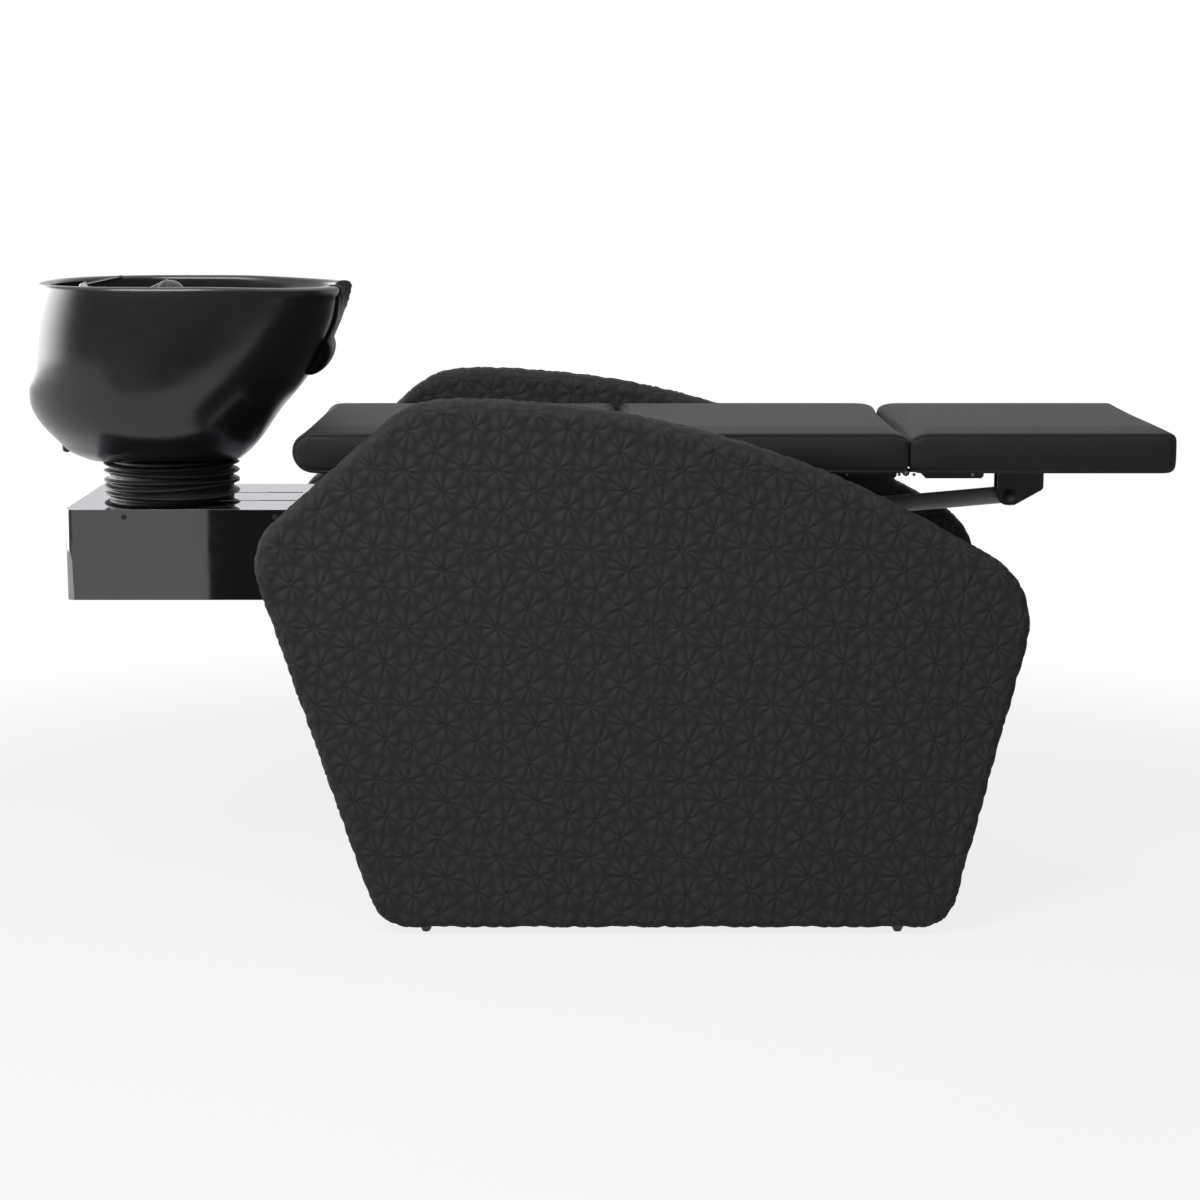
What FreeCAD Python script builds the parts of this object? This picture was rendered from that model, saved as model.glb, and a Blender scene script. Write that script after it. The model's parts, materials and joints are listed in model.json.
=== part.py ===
import FreeCAD
import Part
import math
import os

# Overall sizes, in millimetres; the origin is on the floor under the middle of the length and width
PAD_WIDTH = 540.0
PAD_TOP_Z = 803.0
PAD_THICKNESS = 66.0
LEG_PAD_LENGTH = 424.0
SEAT_PAD_LENGTH = 462.0
BACK_PAD_LENGTH = 520.0
PANEL_GAP = 566.0
PANEL_THICKNESS = 71.0
BOWL_REAR_HALF = 234.0
BOWL_FRONT_HALF = 292.0
BOWL_SIDE_HALF = 240.0
BOWL_NOSE_GAP = 64.64
NOSE_LEVEL_SHARE = 0.58
FIT = 0.3

# Stations along the length: pads, then clear space, then the bowl from its wall at pad height to its rear
BED_LENGTH = LEG_PAD_LENGTH + SEAT_PAD_LENGTH + BACK_PAD_LENGTH
BOWL_AXIS_REACH = BOWL_NOSE_GAP + BOWL_FRONT_HALF * NOSE_LEVEL_SHARE
TOTAL_LENGTH = BED_LENGTH + BOWL_AXIS_REACH + BOWL_REAR_HALF
LEG_END_X = TOTAL_LENGTH / 2
LEG_SEAM_X = LEG_END_X - LEG_PAD_LENGTH
BACK_SEAM_X = LEG_SEAM_X - SEAT_PAD_LENGTH
BACK_NOSE_X = BACK_SEAM_X - BACK_PAD_LENGTH
BOWL_AXIS_X = BACK_NOSE_X - BOWL_AXIS_REACH
BOWL_REAR_X = BOWL_AXIS_X - BOWL_REAR_HALF
PAD_BOTTOM_Z = PAD_TOP_Z - PAD_THICKNESS
PAD_HALF = PAD_WIDTH / 2
PANEL_IN_Y = PANEL_GAP / 2
PANEL_OUT_Y = PANEL_IN_Y + PANEL_THICKNESS

# Side panels: corners as shares of length and height, running round from the rear foot
PANEL_LENGTH = 1260.0
PANEL_HEIGHT = 851.0
PANEL_REAR_REACH = 590.0
FOOT_HEIGHT = 10.0
PANEL_CORNER_SHARES = ((0.163, 0.0), (0.890, 0.0), (1.0, 0.656), (0.579, 1.0), (0.2095, 1.0), (0.0, 0.726))
PANEL_ROUNDS = (70.0, 60.0, 125.0, 1530.0, 150.0, 95.0)
PANEL_EDGE_ROUND = 20.0
BOARD_THICKNESS = 18.0
BOARD_CORNER_SHARES = ((0.20, 0.03), (0.85, 0.03), (0.93, 0.56), (0.08, 0.56))
PANEL_REAR_X = BACK_SEAM_X - PANEL_REAR_REACH
PANEL_MID_Y = PANEL_IN_Y + PANEL_THICKNESS / 2

# Levelling feet, placed as shares of the panel length
FOOT_SHARES = (0.2215, 0.826)
FOOT_TIP_RADIUS = 6.0
FOOT_TOP_RADIUS = 11.0
FOOT_STEM_RADIUS = 4.0
FOOT_STEM_LENGTH = 30.0

# Pads
SEAM_GAP = 2.0
NOSE_TOP_ROUND = 30.0
NOSE_BOTTOM_ROUND = 34.0
PAD_END_ROUND = 8.0
PAD_EDGE_ROUND = 6.0
PAD_CROWN = 4.0
GROOVE_RUN = 30.0
GROOVE_DROP = 8.0
GROOVE_ROUND = 45.0
PAD_BOARD_THICKNESS = 12.0
PAD_BOARD_INSET = 26.0

# Lift: parallel arms between the floor frame and the seat frame
ARM_LENGTH = 268.0
ARM_REST_DEG = 72.0
LIFT_TRAVEL_DEG = 60.0
ARM_PITCH = 220.0
ARM_THICKNESS = 8.0
ARM_LOW_RADIUS = 27.0
ARM_HIGH_RADIUS = 20.0
SHAFT_RADIUS = 15.0
HUB_WALL = 7.0
PIN_RADIUS = 8.0

# Leg linkage
HINGE_DROP = 4.0
LEG_PIN_REACH = 199.0
LEG_PIN_DROP = 62.0
LINK_REACH = 230.0
LINK_FALL = 20.5
LINK_RADIUS = 14.5
LINK_EYE_RADIUS = 17.0
LINK_HALF_WIDTH = 18.0
LINK_PIN_RADIUS = 6.0
CHEEK_THICKNESS = 4.0
CRANK_THICKNESS = 8.0
CRANK_HUB_WALL = 4.0
BRACKET_LEFT = 21.0
BRACKET_RIGHT = 56.0
BRACKET_SHOULDER = 55.0
BRACKET_NOSE_RADIUS = 16.0

# Back linkage
BACK_PIVOT_DROP = 5.0
BACK_PIN_REACH = 150.0
BACK_PIN_DROP = 83.0
BACK_CRANK_RADIUS = 12.0
BACK_LINK_THICKNESS = 8.0
BACK_LINK_RADIUS = 14.0
LUG_THICKNESS = 6.0
LUG_LENGTH = 60.0
EAR_THICKNESS = 4.0
EAR_GAP = 0.5
EAR_RADIUS = 14.0
EAR_REACH = 46.0
EAR_FLANGE = 60.0
EAR_BOLT_RADIUS = 5.5
EAR_BOLT_HEAD = 1.5

# Seat frame
RAIL_MID_Y = 178.0
RAIL_WIDTH = 25.0
RAIL_HEIGHT = 40.0
RAIL_WALL = 3.0
RAIL_END_GAP = 22.0
CROSS_HEIGHT = 30.0
CROSS_WIDTH = 30.0
SIDE_PLAY = 1.0

# Strap hinges between seat and leg pad
STRAP_MID_Y = 208.0
STRAP_WIDTH = 30.0
STRAP_THICKNESS = 3.0
STRAP_DEPTH = 13.0
STRAP_LENGTH = 97.0
SEAT_STRAP_SETBACK = 15.0
LEG_STRAP_SETBACK = 28.0
STRAP_CHAMFER = 4.0
KNUCKLE_RADIUS = 5.5
HINGE_PIN_RADIUS = 3.0

# Floor frame
FLOOR_GAP = 20.0
FRAME_TUBE = 40.0
FRAME_WALL = 3.0
FRAME_PANEL_GAP = 2.0
FRAME_REAR_INSET = 40.0
FRAME_FRONT_INSET = 130.0
PIVOT_PLATE_THICKNESS = 10.0
PIVOT_PLATE_SETBACK = 12.0
PIVOT_PLATE_MARGIN = 36.0
PIVOT_WINDOW_MARGIN = 45.0
PIVOT_WINDOW_ROUND = 25.0
SPACER_WALL = 3.0
KICK_THICKNESS = 18.0
FRONT_KICK_HEIGHT = 190.0
REAR_KICK_HEIGHT = 180.0

# Rear posts, beams and drive
POST_MID_Y = 120.0
POST_WIDTH = 40.0
POST_LENGTH = 40.0
DRIVE_Y = 60.0
DRIVE_DROP = 100.0
LEVER_THICKNESS = 7.0
LEVER_END_RADIUS = 22.0
SLOT_CLEARANCE = 3.0
ROD_RADIUS = 12.0
ROD_EYE_RADIUS = 14.0
ROD_HOLD = 30.0
DRIVE_RADIUS = 28.0
DRIVE_LENGTH = 245.0
DRIVE_NOSE_GAP = 32.0
MOTOR_RADIUS = 25.0
MOTOR_INSET = 5.0
MOTOR_LENGTH = 104.0
SADDLE_LENGTH = 30.0
SADDLE_WIDTH = 48.0
SADDLE_FLOOR = 8.0
CONTROL_LENGTH = 130.0
CONTROL_WIDTH = 80.0
CONTROL_HEIGHT = 60.0
CONTROL_ROUND = 6.0

# Service box behind the body
BOX_REAR_INSET = 85.0
BOX_LENGTH = 440.0
BOX_HALF_WIDTH = 176.0
BOX_HEIGHT = 149.0
BOX_SHEET = 3.0
BOX_CORNER_ROUND = 12.0
LID_FLANGE = 20.0
LID_SCREW_INSET = 97.0
LID_SCREW_DROP = 12.0
SCREW_RADIUS = 3.0
SCREW_HEAD_RADIUS = 4.5
SCREW_HEAD_HEIGHT = 1.5
SLOT_Y = 55.0
SLOT_WIDTH = 10.0
SLIDE_TRAVEL = 60.0
HOSE_OPENING_HALF = 34.0

# Carriage and tilt
CARRIAGE_LENGTH = 130.0
CARRIAGE_WIDTH = 150.0
CARRIAGE_THICKNESS = 6.0
RUNNER_REAR_REACH = 90.0
RUNNER_FRONT_REACH = 154.0
CLAMP_THICKNESS = 10.0
TILT_RISE = 33.0
TILT_EAR_Y = 60.0
TILT_EAR_THICKNESS = 8.0
TILT_EAR_RADIUS = 15.0
TILT_PIN_RADIUS = 6.0
MOUNT_THICKNESS = 8.0
MOUNT_RADIUS = 92.0
TAIL_HOLE_RADIUS = 30.0

# Bellows
BELLOWS_HEIGHT = 66.0
BELLOWS_RIDGE_RADIUS = 114.0
BELLOWS_VALLEY_RADIUS = 105.0
BELLOWS_WALL = 3.0
BELLOWS_RIDGE_SHARES = (0.10, 0.29, 0.57, 0.84)
BELLOWS_VALLEY_SHARES = (0.0, 0.19, 0.43, 0.71, 1.0)

# Bowl: rings from the foot to the rim as height, rear, front and side shares, and squareness
BOWL_DROP = 70.0
BOWL_HEIGHT = 297.0
BOWL_RING_SHARES = (
    (0.000, 0.490, 0.400, 0.490, 2.0),
    (0.040, 0.640, 0.448, 0.580, 2.02),
    (0.110, 0.764, 0.502, 0.720, 2.06),
    (0.190, 0.878, 0.559, 0.830, 2.12),
    (0.290, 0.962, 0.633, 0.910, 2.2),
    (0.400, 0.994, 0.729, 0.960, 2.28),
    (0.560, 0.998, 0.856, 0.995, 2.38),
    (0.760, 0.972, 0.943, 1.000, 2.45),
    (1.000, 0.885, 1.000, 0.990, 2.5),
)
BASIN_RING_SHARES = (
    (0.125, 0.280, 0.230, 0.280, 2.0),
    (0.180, 0.400, 0.400, 0.520, 2.1),
    (0.320, 0.440, 0.590, 0.780, 2.2),
    (0.560, 0.460, 0.740, 0.865, 2.35),
    (0.800, 0.470, 0.820, 0.875, 2.42),
)
RECESS_RING_SHARES = (
    (0.780, 0.857, 0.863, 0.905, 2.45),
    (1.060, 0.784, 0.933, 0.905, 2.5),
)
RING_POINTS = 28
RIM_ROUND = 7.0
NECK_RADIUS = 118.0
NECK_DIP = 52.0

# Neck rest over the front lip
REST_THICKNESS = 14.0
REST_HALF_WIDTH = 112.0
REST_TOP_DROP = 2.0
REST_RISE = 172.0
REST_INSIDE_REACH = 34.0
BEAD_HALF_HEIGHT = 28.0
BEAD_HALF_DEPTH = 14.0
BEAD_RISE = 168.0
BEAD_SWING_DEG = 20.0

# Fittings on the deck of the bowl and in its floor
DECK_SHARE = 0.780
MIXER_INSET = 87.0
MIXER_Y = 45.0
MIXER_BASE_RADIUS = 24.0
MIXER_BASE_HEIGHT = 6.0
MIXER_BODY_RADIUS = 19.0
MIXER_BODY_HEIGHT = 38.0
MIXER_CAP_RADIUS = 21.0
MIXER_CAP_HEIGHT = 24.0
MIXER_CAP_ROUND = 15.0
LEVER_ROD_RADIUS = 3.5
LEVER_ROOT_RADIUS = 6.0
LEVER_REACH = 62.0
LEVER_RISE = 13.0
SHANK_RADIUS = 12.0
GROMMET_RADIUS = 8.0
GROMMET_LENGTH = 26.0
GROMMET_X_INSET = 58.0
GROMMET_RISE = 39.0
SHOWER_X_INSET = 96.0
SHOWER_Y = -70.0
SHOWER_LEAN_DEG = 12.0
SHOWER_HANDLE_RADIUS = 12.0
SHOWER_HANDLE_LENGTH = 166.0
SHOWER_HEAD_RADIUS = 24.0
SHOWER_FACE_DEPTH = 4.0
HOLDER_RADIUS = 19.0
HOLDER_HEIGHT = 16.0
HOLDER_FLANGE = 4.0
SHOWER_SEAT = 9.0
DRAIN_HOLE_RADIUS = 22.0
DRAIN_FLANGE_RADIUS = 36.0
DRAIN_FLANGE_HEIGHT = 3.0
DRAIN_WALL = 3.0
TAIL_LENGTH = 44.0
STRAINER_RADIUS = 17.0
STRAINER_DEPTH = 16.0
STRAINER_RIM = 3.0
STRAINER_HOLE_RADIUS = 2.2
STRAINER_HOLE_SHARE = 0.60
STRAINER_HOLES = 10

# Waste and supply pipes
PIPE_RADIUS = 20.0
PIPE_WALL = 2.0
PIPE_BEND = 45.0
PIPE_Y = -40.0
PIPE_RISE = 74.0
PIPE_DROP_REACH = 55.0
PIPE_FLOOR_GAP = 60.0
HOSE_RADIUS = 20.5
HOSE_JOINT_REACH = 120.0
SUPPLY_RADIUS = 7.5
SUPPLY_WALL = 1.0
SUPPLY_YS = (-80.0, -105.0)
SUPPLY_BEND = 30.0
WASTE_SPIGOT = 70.0
SUPPLY_SPIGOT = 40.0
NUT_HEIGHT = 14.0
NUT_WALL = 3.5
CLAMP_LENGTH = 85.0
CLAMP_HEIGHT = 22.0
CLAMP_Z = 210.0
CLAMP_MARGIN = 8.0

# Derived stations of the mechanism
LEG_HINGE = (LEG_SEAM_X, PAD_BOTTOM_Z - HINGE_DROP)
LEG_PIN = (LEG_HINGE[0] + LEG_PIN_REACH, LEG_HINGE[1] - LEG_PIN_DROP)
FRONT_TOP = (LEG_HINGE[0] - LINK_REACH, LEG_HINGE[1] - LINK_FALL)
CRANK_PIN = (FRONT_TOP[0] + LEG_PIN_REACH, FRONT_TOP[1] - LEG_PIN_DROP)
ARM_RUN = ARM_LENGTH * math.cos(math.radians(ARM_REST_DEG))
ARM_RISE = ARM_LENGTH * math.sin(math.radians(ARM_REST_DEG))
FRONT_LOW = (FRONT_TOP[0] - ARM_RUN, FRONT_TOP[1] - ARM_RISE)
REAR_TOP = (FRONT_TOP[0] - ARM_PITCH, FRONT_TOP[1])
REAR_LOW = (FRONT_LOW[0] - ARM_PITCH, FRONT_LOW[1])
BACK_HINGE = (BACK_SEAM_X, PAD_TOP_Z - BACK_PIVOT_DROP)
BACK_PIN = (BACK_HINGE[0] - BACK_PIN_REACH, BACK_HINGE[1] - BACK_PIN_DROP)
BACK_CRANK = (REAR_TOP[0] - BACK_PIN_REACH, REAR_TOP[1] - BACK_PIN_DROP)
RAIL_IN_Y = RAIL_MID_Y - RAIL_WIDTH / 2
RAIL_OUT_Y = RAIL_MID_Y + RAIL_WIDTH / 2
FRONT_ARM_OUT_Y = RAIL_IN_Y - SIDE_PLAY
FRONT_ARM_IN_Y = FRONT_ARM_OUT_Y - ARM_THICKNESS
REAR_ARM_IN_Y = RAIL_OUT_Y + SIDE_PLAY
REAR_ARM_OUT_Y = REAR_ARM_IN_Y + ARM_THICKNESS
BACK_LINK_IN_Y = REAR_ARM_OUT_Y + SIDE_PLAY
BACK_LINK_OUT_Y = BACK_LINK_IN_Y + BACK_LINK_THICKNESS
LUG_IN_Y = BACK_LINK_OUT_Y + SIDE_PLAY
LUG_OUT_Y = LUG_IN_Y + LUG_THICKNESS
HUB_RADIUS = SHAFT_RADIUS + HUB_WALL
CRANK_IN_Y = LINK_HALF_WIDTH + SIDE_PLAY / 2
CRANK_OUT_Y = CRANK_IN_Y + CRANK_THICKNESS
FRAME_OUT_Y = PANEL_IN_Y - FRAME_PANEL_GAP
FRAME_IN_Y = FRAME_OUT_Y - FRAME_TUBE
FRAME_TOP_Z = FLOOR_GAP + FRAME_TUBE
PLATE_OUT_Y = FRAME_OUT_Y - PIVOT_PLATE_SETBACK - SIDE_PLAY
PLATE_IN_Y = PLATE_OUT_Y - PIVOT_PLATE_THICKNESS
FRAME_REAR_X = PANEL_REAR_X + PANEL_LENGTH * PANEL_CORNER_SHARES[0][0] + FRAME_REAR_INSET
FRAME_FRONT_X = PANEL_REAR_X + PANEL_LENGTH * PANEL_CORNER_SHARES[1][0] - FRAME_FRONT_INSET
POST_REAR_X = FRAME_REAR_X
POST_FRONT_X = POST_REAR_X + POST_LENGTH
BOX_REAR_X = BOWL_REAR_X + BOX_REAR_INSET
BOX_FRONT_X = BOX_REAR_X + BOX_LENGTH
BOWL_BOTTOM_Z = PAD_TOP_Z - BOWL_DROP
LID_TOP_Z = BOWL_BOTTOM_Z - BELLOWS_HEIGHT
BOX_BOTTOM_Z = LID_TOP_Z - BOX_HEIGHT
PIPE_Z = BOX_BOTTOM_Z + PIPE_RISE
REST_BOTTOM_Z = BOWL_BOTTOM_Z + REST_RISE
BEAD_Z = BOWL_BOTTOM_Z + BEAD_RISE
GROMMET_TOP_Z = BOWL_BOTTOM_Z + GROMMET_RISE
LID_LOW_Z = LID_TOP_Z - BOX_SHEET
CARRIAGE_LOW_Z = LID_TOP_Z + FIT
CARRIAGE_TOP_Z = CARRIAGE_LOW_Z + CARRIAGE_THICKNESS
TILT_Z = LID_TOP_Z + TILT_RISE
DECK_Z = BOWL_BOTTOM_Z + BOWL_HEIGHT * DECK_SHARE
RIM_Z = BOWL_BOTTOM_Z + BOWL_HEIGHT
DRIVE_Z = REAR_LOW[1] - DRIVE_DROP
DRIVE_HALF_STROKE = DRIVE_DROP * math.tan(math.radians(LIFT_TRAVEL_DEG / 2))
DRIVE_PIN_X = REAR_LOW[0] + DRIVE_HALF_STROKE
DRIVE_NOSE_X = REAR_LOW[0] - DRIVE_HALF_STROKE - DRIVE_NOSE_GAP
DRIVE_TAIL_X = DRIVE_NOSE_X - DRIVE_LENGTH
LEVER_IN_REACH = ROD_RADIUS + SIDE_PLAY
LEVER_OUT_REACH = LEVER_IN_REACH + LEVER_THICKNESS
CROSSBAR_TOP_Z = DRIVE_Z - DRIVE_RADIUS - SADDLE_FLOOR
FLOOR_Z = BOWL_BOTTOM_Z + BOWL_HEIGHT * BASIN_RING_SHARES[0][0]


def point(x, y, z):
    return FreeCAD.Vector(x, y, z)


def block(x0, x1, y0, y1, z0, z1):
    return Part.makeBox(x1 - x0, y1 - y0, z1 - z0, point(x0, y0, z0))


def rod_x(x0, x1, y, z, radius):
    return Part.makeCylinder(radius, x1 - x0, point(x0, y, z), point(1, 0, 0))


def rod_y(y0, y1, place, radius):
    return Part.makeCylinder(radius, y1 - y0, point(place[0], y0, place[1]), point(0, 1, 0))


def rod_z(z0, z1, x, y, radius):
    return Part.makeCylinder(radius, z1 - z0, point(x, y, z0))


def mirrored(shape):
    return shape.mirror(point(0, 0, 0), point(0, 1, 0))


def pair(shape):
    return [shape, mirrored(shape)]


def joined(shapes):
    whole = shapes[0].multiFuse(shapes[1:])
    return whole.removeSplitter()


def save(name, shapes):
    body = shapes[0] if len(shapes) == 1 else Part.makeCompound(shapes)
    body.exportStep("parts/" + name + ".step")


def rounded_wire(corners, place):
    """Closed outline of straight runs and arcs; each corner is (u, v, radius)."""
    spots = [FreeCAD.Vector(u, v, 0) for u, v, radius in corners]
    arcs = []
    for i, spot in enumerate(spots):
        radius = corners[i][2]
        back = (spots[i - 1] - spot).normalize()
        ahead = (spots[(i + 1) % len(spots)] - spot).normalize()
        half = back.getAngle(ahead) / 2
        reach = radius / math.tan(half)
        middle = (back + ahead).normalize() * (radius / math.sin(half) - radius)
        arcs.append((spot + back * reach, spot + middle, spot + ahead * reach, radius))
    edges = []
    for i, (start, middle, end, radius) in enumerate(arcs):
        if radius:
            bend = Part.Arc(place(start.x, start.y), place(middle.x, middle.y), place(end.x, end.y))
            edges.append(bend.toShape())
        following = arcs[(i + 1) % len(arcs)][0]
        edges.append(Part.makeLine(place(end.x, end.y), place(following.x, following.y)))
    return Part.Wire(edges)


def slab_y(corners, y0, y1):
    wire = rounded_wire(corners, lambda u, v: point(u, y0, v))
    return Part.Face(wire).extrude(point(0, y1 - y0, 0))


def slab_x(corners, x0, x1):
    wire = rounded_wire(corners, lambda u, v: point(x0, u, v))
    return Part.Face(wire).extrude(point(x1 - x0, 0, 0))


def slab_z(corners, z0, z1):
    wire = rounded_wire(corners, lambda u, v: point(u, v, z0))
    return Part.Face(wire).extrude(point(0, 0, z1 - z0))


def link_plate(a, a_radius, b, b_radius, y0, y1):
    """Plate around two round ends with straight tangent edges, thick along Y."""
    run = math.hypot(b[0] - a[0], b[1] - a[1])
    lean = math.atan2(b[1] - a[1], b[0] - a[0])
    spread = math.acos((a_radius - b_radius) / run)

    def on(centre, radius, angle):
        return point(centre[0] + radius * math.cos(angle), y0, centre[1] + radius * math.sin(angle))

    low_a = on(a, a_radius, lean - spread)
    high_a = on(a, a_radius, lean + spread)
    low_b = on(b, b_radius, lean - spread)
    high_b = on(b, b_radius, lean + spread)
    outline = Part.Wire([
        Part.makeLine(low_a, low_b),
        Part.Arc(low_b, on(b, b_radius, lean), high_b).toShape(),
        Part.makeLine(high_b, high_a),
        Part.Arc(high_a, on(a, a_radius, lean + math.pi), low_a).toShape(),
    ])
    return Part.Face(outline).extrude(point(0, y1 - y0, 0))


def square_tube_x(x0, x1, y0, y1, z0, z1, wall):
    hollow = block(x0, x1, y0 + wall, y1 - wall, z0 + wall, z1 - wall)
    return block(x0, x1, y0, y1, z0, z1).cut(hollow)


def square_tube_y(x0, x1, y0, y1, z0, z1, wall):
    hollow = block(x0 + wall, x1 - wall, y0, y1, z0 + wall, z1 - wall)
    return block(x0, x1, y0, y1, z0, z1).cut(hollow)


def square_tube_z(x0, x1, y0, y1, z0, z1, wall):
    hollow = block(x0 + wall, x1 - wall, y0 + wall, y1 - wall, z0, z1)
    return block(x0, x1, y0, y1, z0, z1).cut(hollow)


def swept_tube(edges, radius, wall):
    """Round tube along a path of lines and arcs; the path starts along its first edge."""
    path = Part.Wire(edges)
    start = edges[0].valueAt(edges[0].FirstParameter)
    heading = edges[0].tangentAt(edges[0].FirstParameter)

    def swept(size):
        ring = Part.Wire(Part.Circle(start, heading, size).toShape())
        return path.makePipeShell([ring], True, True)

    return swept(radius).cut(swept(radius - wall))


def panel_place(shares):
    return (PANEL_REAR_X + PANEL_LENGTH * shares[0], FOOT_HEIGHT + PANEL_HEIGHT * shares[1])


def panel_board():
    corners = [panel_place(shares) + (0,) for shares in BOARD_CORNER_SHARES]
    return slab_y(corners, PANEL_IN_Y, PANEL_IN_Y + BOARD_THICKNESS)


def panel_cover():
    places = [panel_place(shares) for shares in PANEL_CORNER_SHARES]
    corners = [place + (radius,) for place, radius in zip(places, PANEL_ROUNDS)]
    body = slab_y(corners, PANEL_IN_Y, PANEL_OUT_Y)
    rims = [edge for edge in body.Edges if edge.BoundBox.YLength < FIT]
    body = body.makeFillet(PANEL_EDGE_ROUND, rims).cut(panel_board())
    for x in foot_xs():
        body = body.cut(rod_z(FOOT_HEIGHT, FOOT_HEIGHT + FOOT_STEM_LENGTH, x, PANEL_MID_Y, FOOT_STEM_RADIUS))
    return body


def foot_xs():
    return [PANEL_REAR_X + PANEL_LENGTH * share for share in FOOT_SHARES]


def levelling_feet():
    feet = []
    for x in foot_xs():
        glide = Part.makeCone(FOOT_TIP_RADIUS, FOOT_TOP_RADIUS, FOOT_HEIGHT, point(x, PANEL_MID_Y, 0))
        stem = rod_z(0, FOOT_HEIGHT + FOOT_STEM_LENGTH, x, PANEL_MID_Y, FOOT_STEM_RADIUS - FIT)
        feet += pair(joined([glide, stem]))
    return feet


def pad_cross_section(x0, x1):
    """Full-width block with a crowned top, used to shape each pad across its width."""
    top = PAD_TOP_Z
    crown_reach = PAD_HALF * 2 / 3
    crown_radius = crown_reach * PAD_HALF / PAD_CROWN
    corners = [
        (-PAD_HALF, PAD_BOTTOM_Z, PAD_EDGE_ROUND),
        (PAD_HALF, PAD_BOTTOM_Z, PAD_EDGE_ROUND),
        (PAD_HALF, top - PAD_CROWN / 2, PAD_EDGE_ROUND),
        (0, top + PAD_CROWN / 2, crown_radius),
        (-PAD_HALF, top - PAD_CROWN / 2, PAD_EDGE_ROUND),
    ]
    return slab_x(corners, x0, x1)


def pad_board(x0, x1):
    half = PAD_HALF - PAD_BOARD_INSET
    return block(x0 + PAD_BOARD_INSET, x1 - PAD_BOARD_INSET, -half, half,
                 PAD_BOTTOM_Z, PAD_BOTTOM_Z + PAD_BOARD_THICKNESS)


def pad(corners, x0, x1):
    body = slab_y(corners, -PAD_HALF, PAD_HALF)
    return body.common(pad_cross_section(x0, x1)).cut(pad_board(x0, x1))


def back_span():
    return BACK_NOSE_X, BACK_SEAM_X - SEAM_GAP / 2


def seat_span():
    return BACK_SEAM_X + SEAM_GAP / 2, LEG_SEAM_X - SEAM_GAP / 2


def leg_span():
    return LEG_SEAM_X + SEAM_GAP / 2, LEG_END_X


def back_pad():
    x0, x1 = back_span()
    corners = [
        (x0, PAD_BOTTOM_Z, NOSE_BOTTOM_ROUND),
        (x1, PAD_BOTTOM_Z, PAD_END_ROUND),
        (x1, PAD_TOP_Z, PAD_END_ROUND),
        (x0, PAD_TOP_Z, NOSE_TOP_ROUND),
    ]
    return pad(corners, x0, x1)


def seat_pad():
    x0, x1 = seat_span()
    corners = [
        (x0, PAD_BOTTOM_Z, PAD_END_ROUND),
        (x1, PAD_BOTTOM_Z, PAD_END_ROUND),
        (x1, PAD_TOP_Z - GROOVE_DROP, PAD_EDGE_ROUND),
        (x1 - GROOVE_RUN, PAD_TOP_Z, GROOVE_ROUND),
        (x0, PAD_TOP_Z, PAD_END_ROUND),
    ]
    return pad(corners, x0, x1)


def leg_pad():
    x0, x1 = leg_span()
    corners = [
        (x0, PAD_BOTTOM_Z, PAD_END_ROUND),
        (x1, PAD_BOTTOM_Z, PAD_END_ROUND),
        (x1, PAD_TOP_Z, PAD_EDGE_ROUND),
        (x0 + GROOVE_RUN, PAD_TOP_Z, GROOVE_ROUND),
        (x0, PAD_TOP_Z - GROOVE_DROP, PAD_EDGE_ROUND),
    ]
    return pad(corners, x0, x1)


def hinge_ear(direction, y0):
    """Angle bracket beside a pad: upright ear at the back pivot and a flange under the pad."""
    foot_x = BACK_HINGE[0] + direction * EAR_REACH
    foot = (foot_x, PAD_BOTTOM_Z - EAR_THICKNESS + EAR_RADIUS)
    y1 = y0 + EAR_THICKNESS
    upright = link_plate(BACK_HINGE, EAR_RADIUS, foot, EAR_RADIUS, y0, y1)
    flange = block(foot_x - EAR_RADIUS, foot_x + EAR_RADIUS, PAD_HALF - EAR_FLANGE, y1,
                   PAD_BOTTOM_Z - EAR_THICKNESS, PAD_BOTTOM_Z)
    hole = rod_y(y0, y1, BACK_HINGE, EAR_BOLT_RADIUS + FIT)
    return joined([upright, flange]).cut(hole)


def seat_ear_y():
    return PAD_HALF + EAR_GAP + SIDE_PLAY


def back_ear_y():
    return seat_ear_y() + EAR_THICKNESS + EAR_GAP


def back_pivot_bolt():
    start = PAD_HALF + EAR_GAP
    end = back_ear_y() + EAR_THICKNESS + FIT
    shank = rod_y(start, end, BACK_HINGE, EAR_BOLT_RADIUS)
    head = rod_y(end, end + EAR_BOLT_HEAD, BACK_HINGE, EAR_RADIUS / 2 + PIN_RADIUS / 4)
    return joined([shank, head])


def back_lug():
    half = LUG_LENGTH / 2
    top = PAD_BOTTOM_Z
    base = block(BACK_PIN[0] - half, BACK_PIN[0] + half, LUG_IN_Y, LUG_OUT_Y, top - EAR_THICKNESS, top)
    web = link_plate(BACK_PIN, BACK_LINK_RADIUS, (BACK_PIN[0], top - BACK_LINK_RADIUS), BACK_LINK_RADIUS,
                     LUG_IN_Y, LUG_OUT_Y)
    return joined([base, web]).cut(rod_y(LUG_IN_Y, LUG_OUT_Y, BACK_PIN, PIN_RADIUS + FIT))


def back_link():
    y0 = BACK_LINK_IN_Y
    y1 = BACK_LINK_OUT_Y
    bar = link_plate(BACK_CRANK, BACK_LINK_RADIUS, BACK_PIN, BACK_LINK_RADIUS, y0, y1)
    for place in (BACK_CRANK, BACK_PIN):
        bar = bar.cut(rod_y(y0, y1, place, PIN_RADIUS + FIT))
    return bar


def back_link_pin():
    return rod_y(BACK_LINK_IN_Y - SIDE_PLAY / 2, LUG_OUT_Y + SIDE_PLAY, BACK_PIN, PIN_RADIUS)


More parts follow.
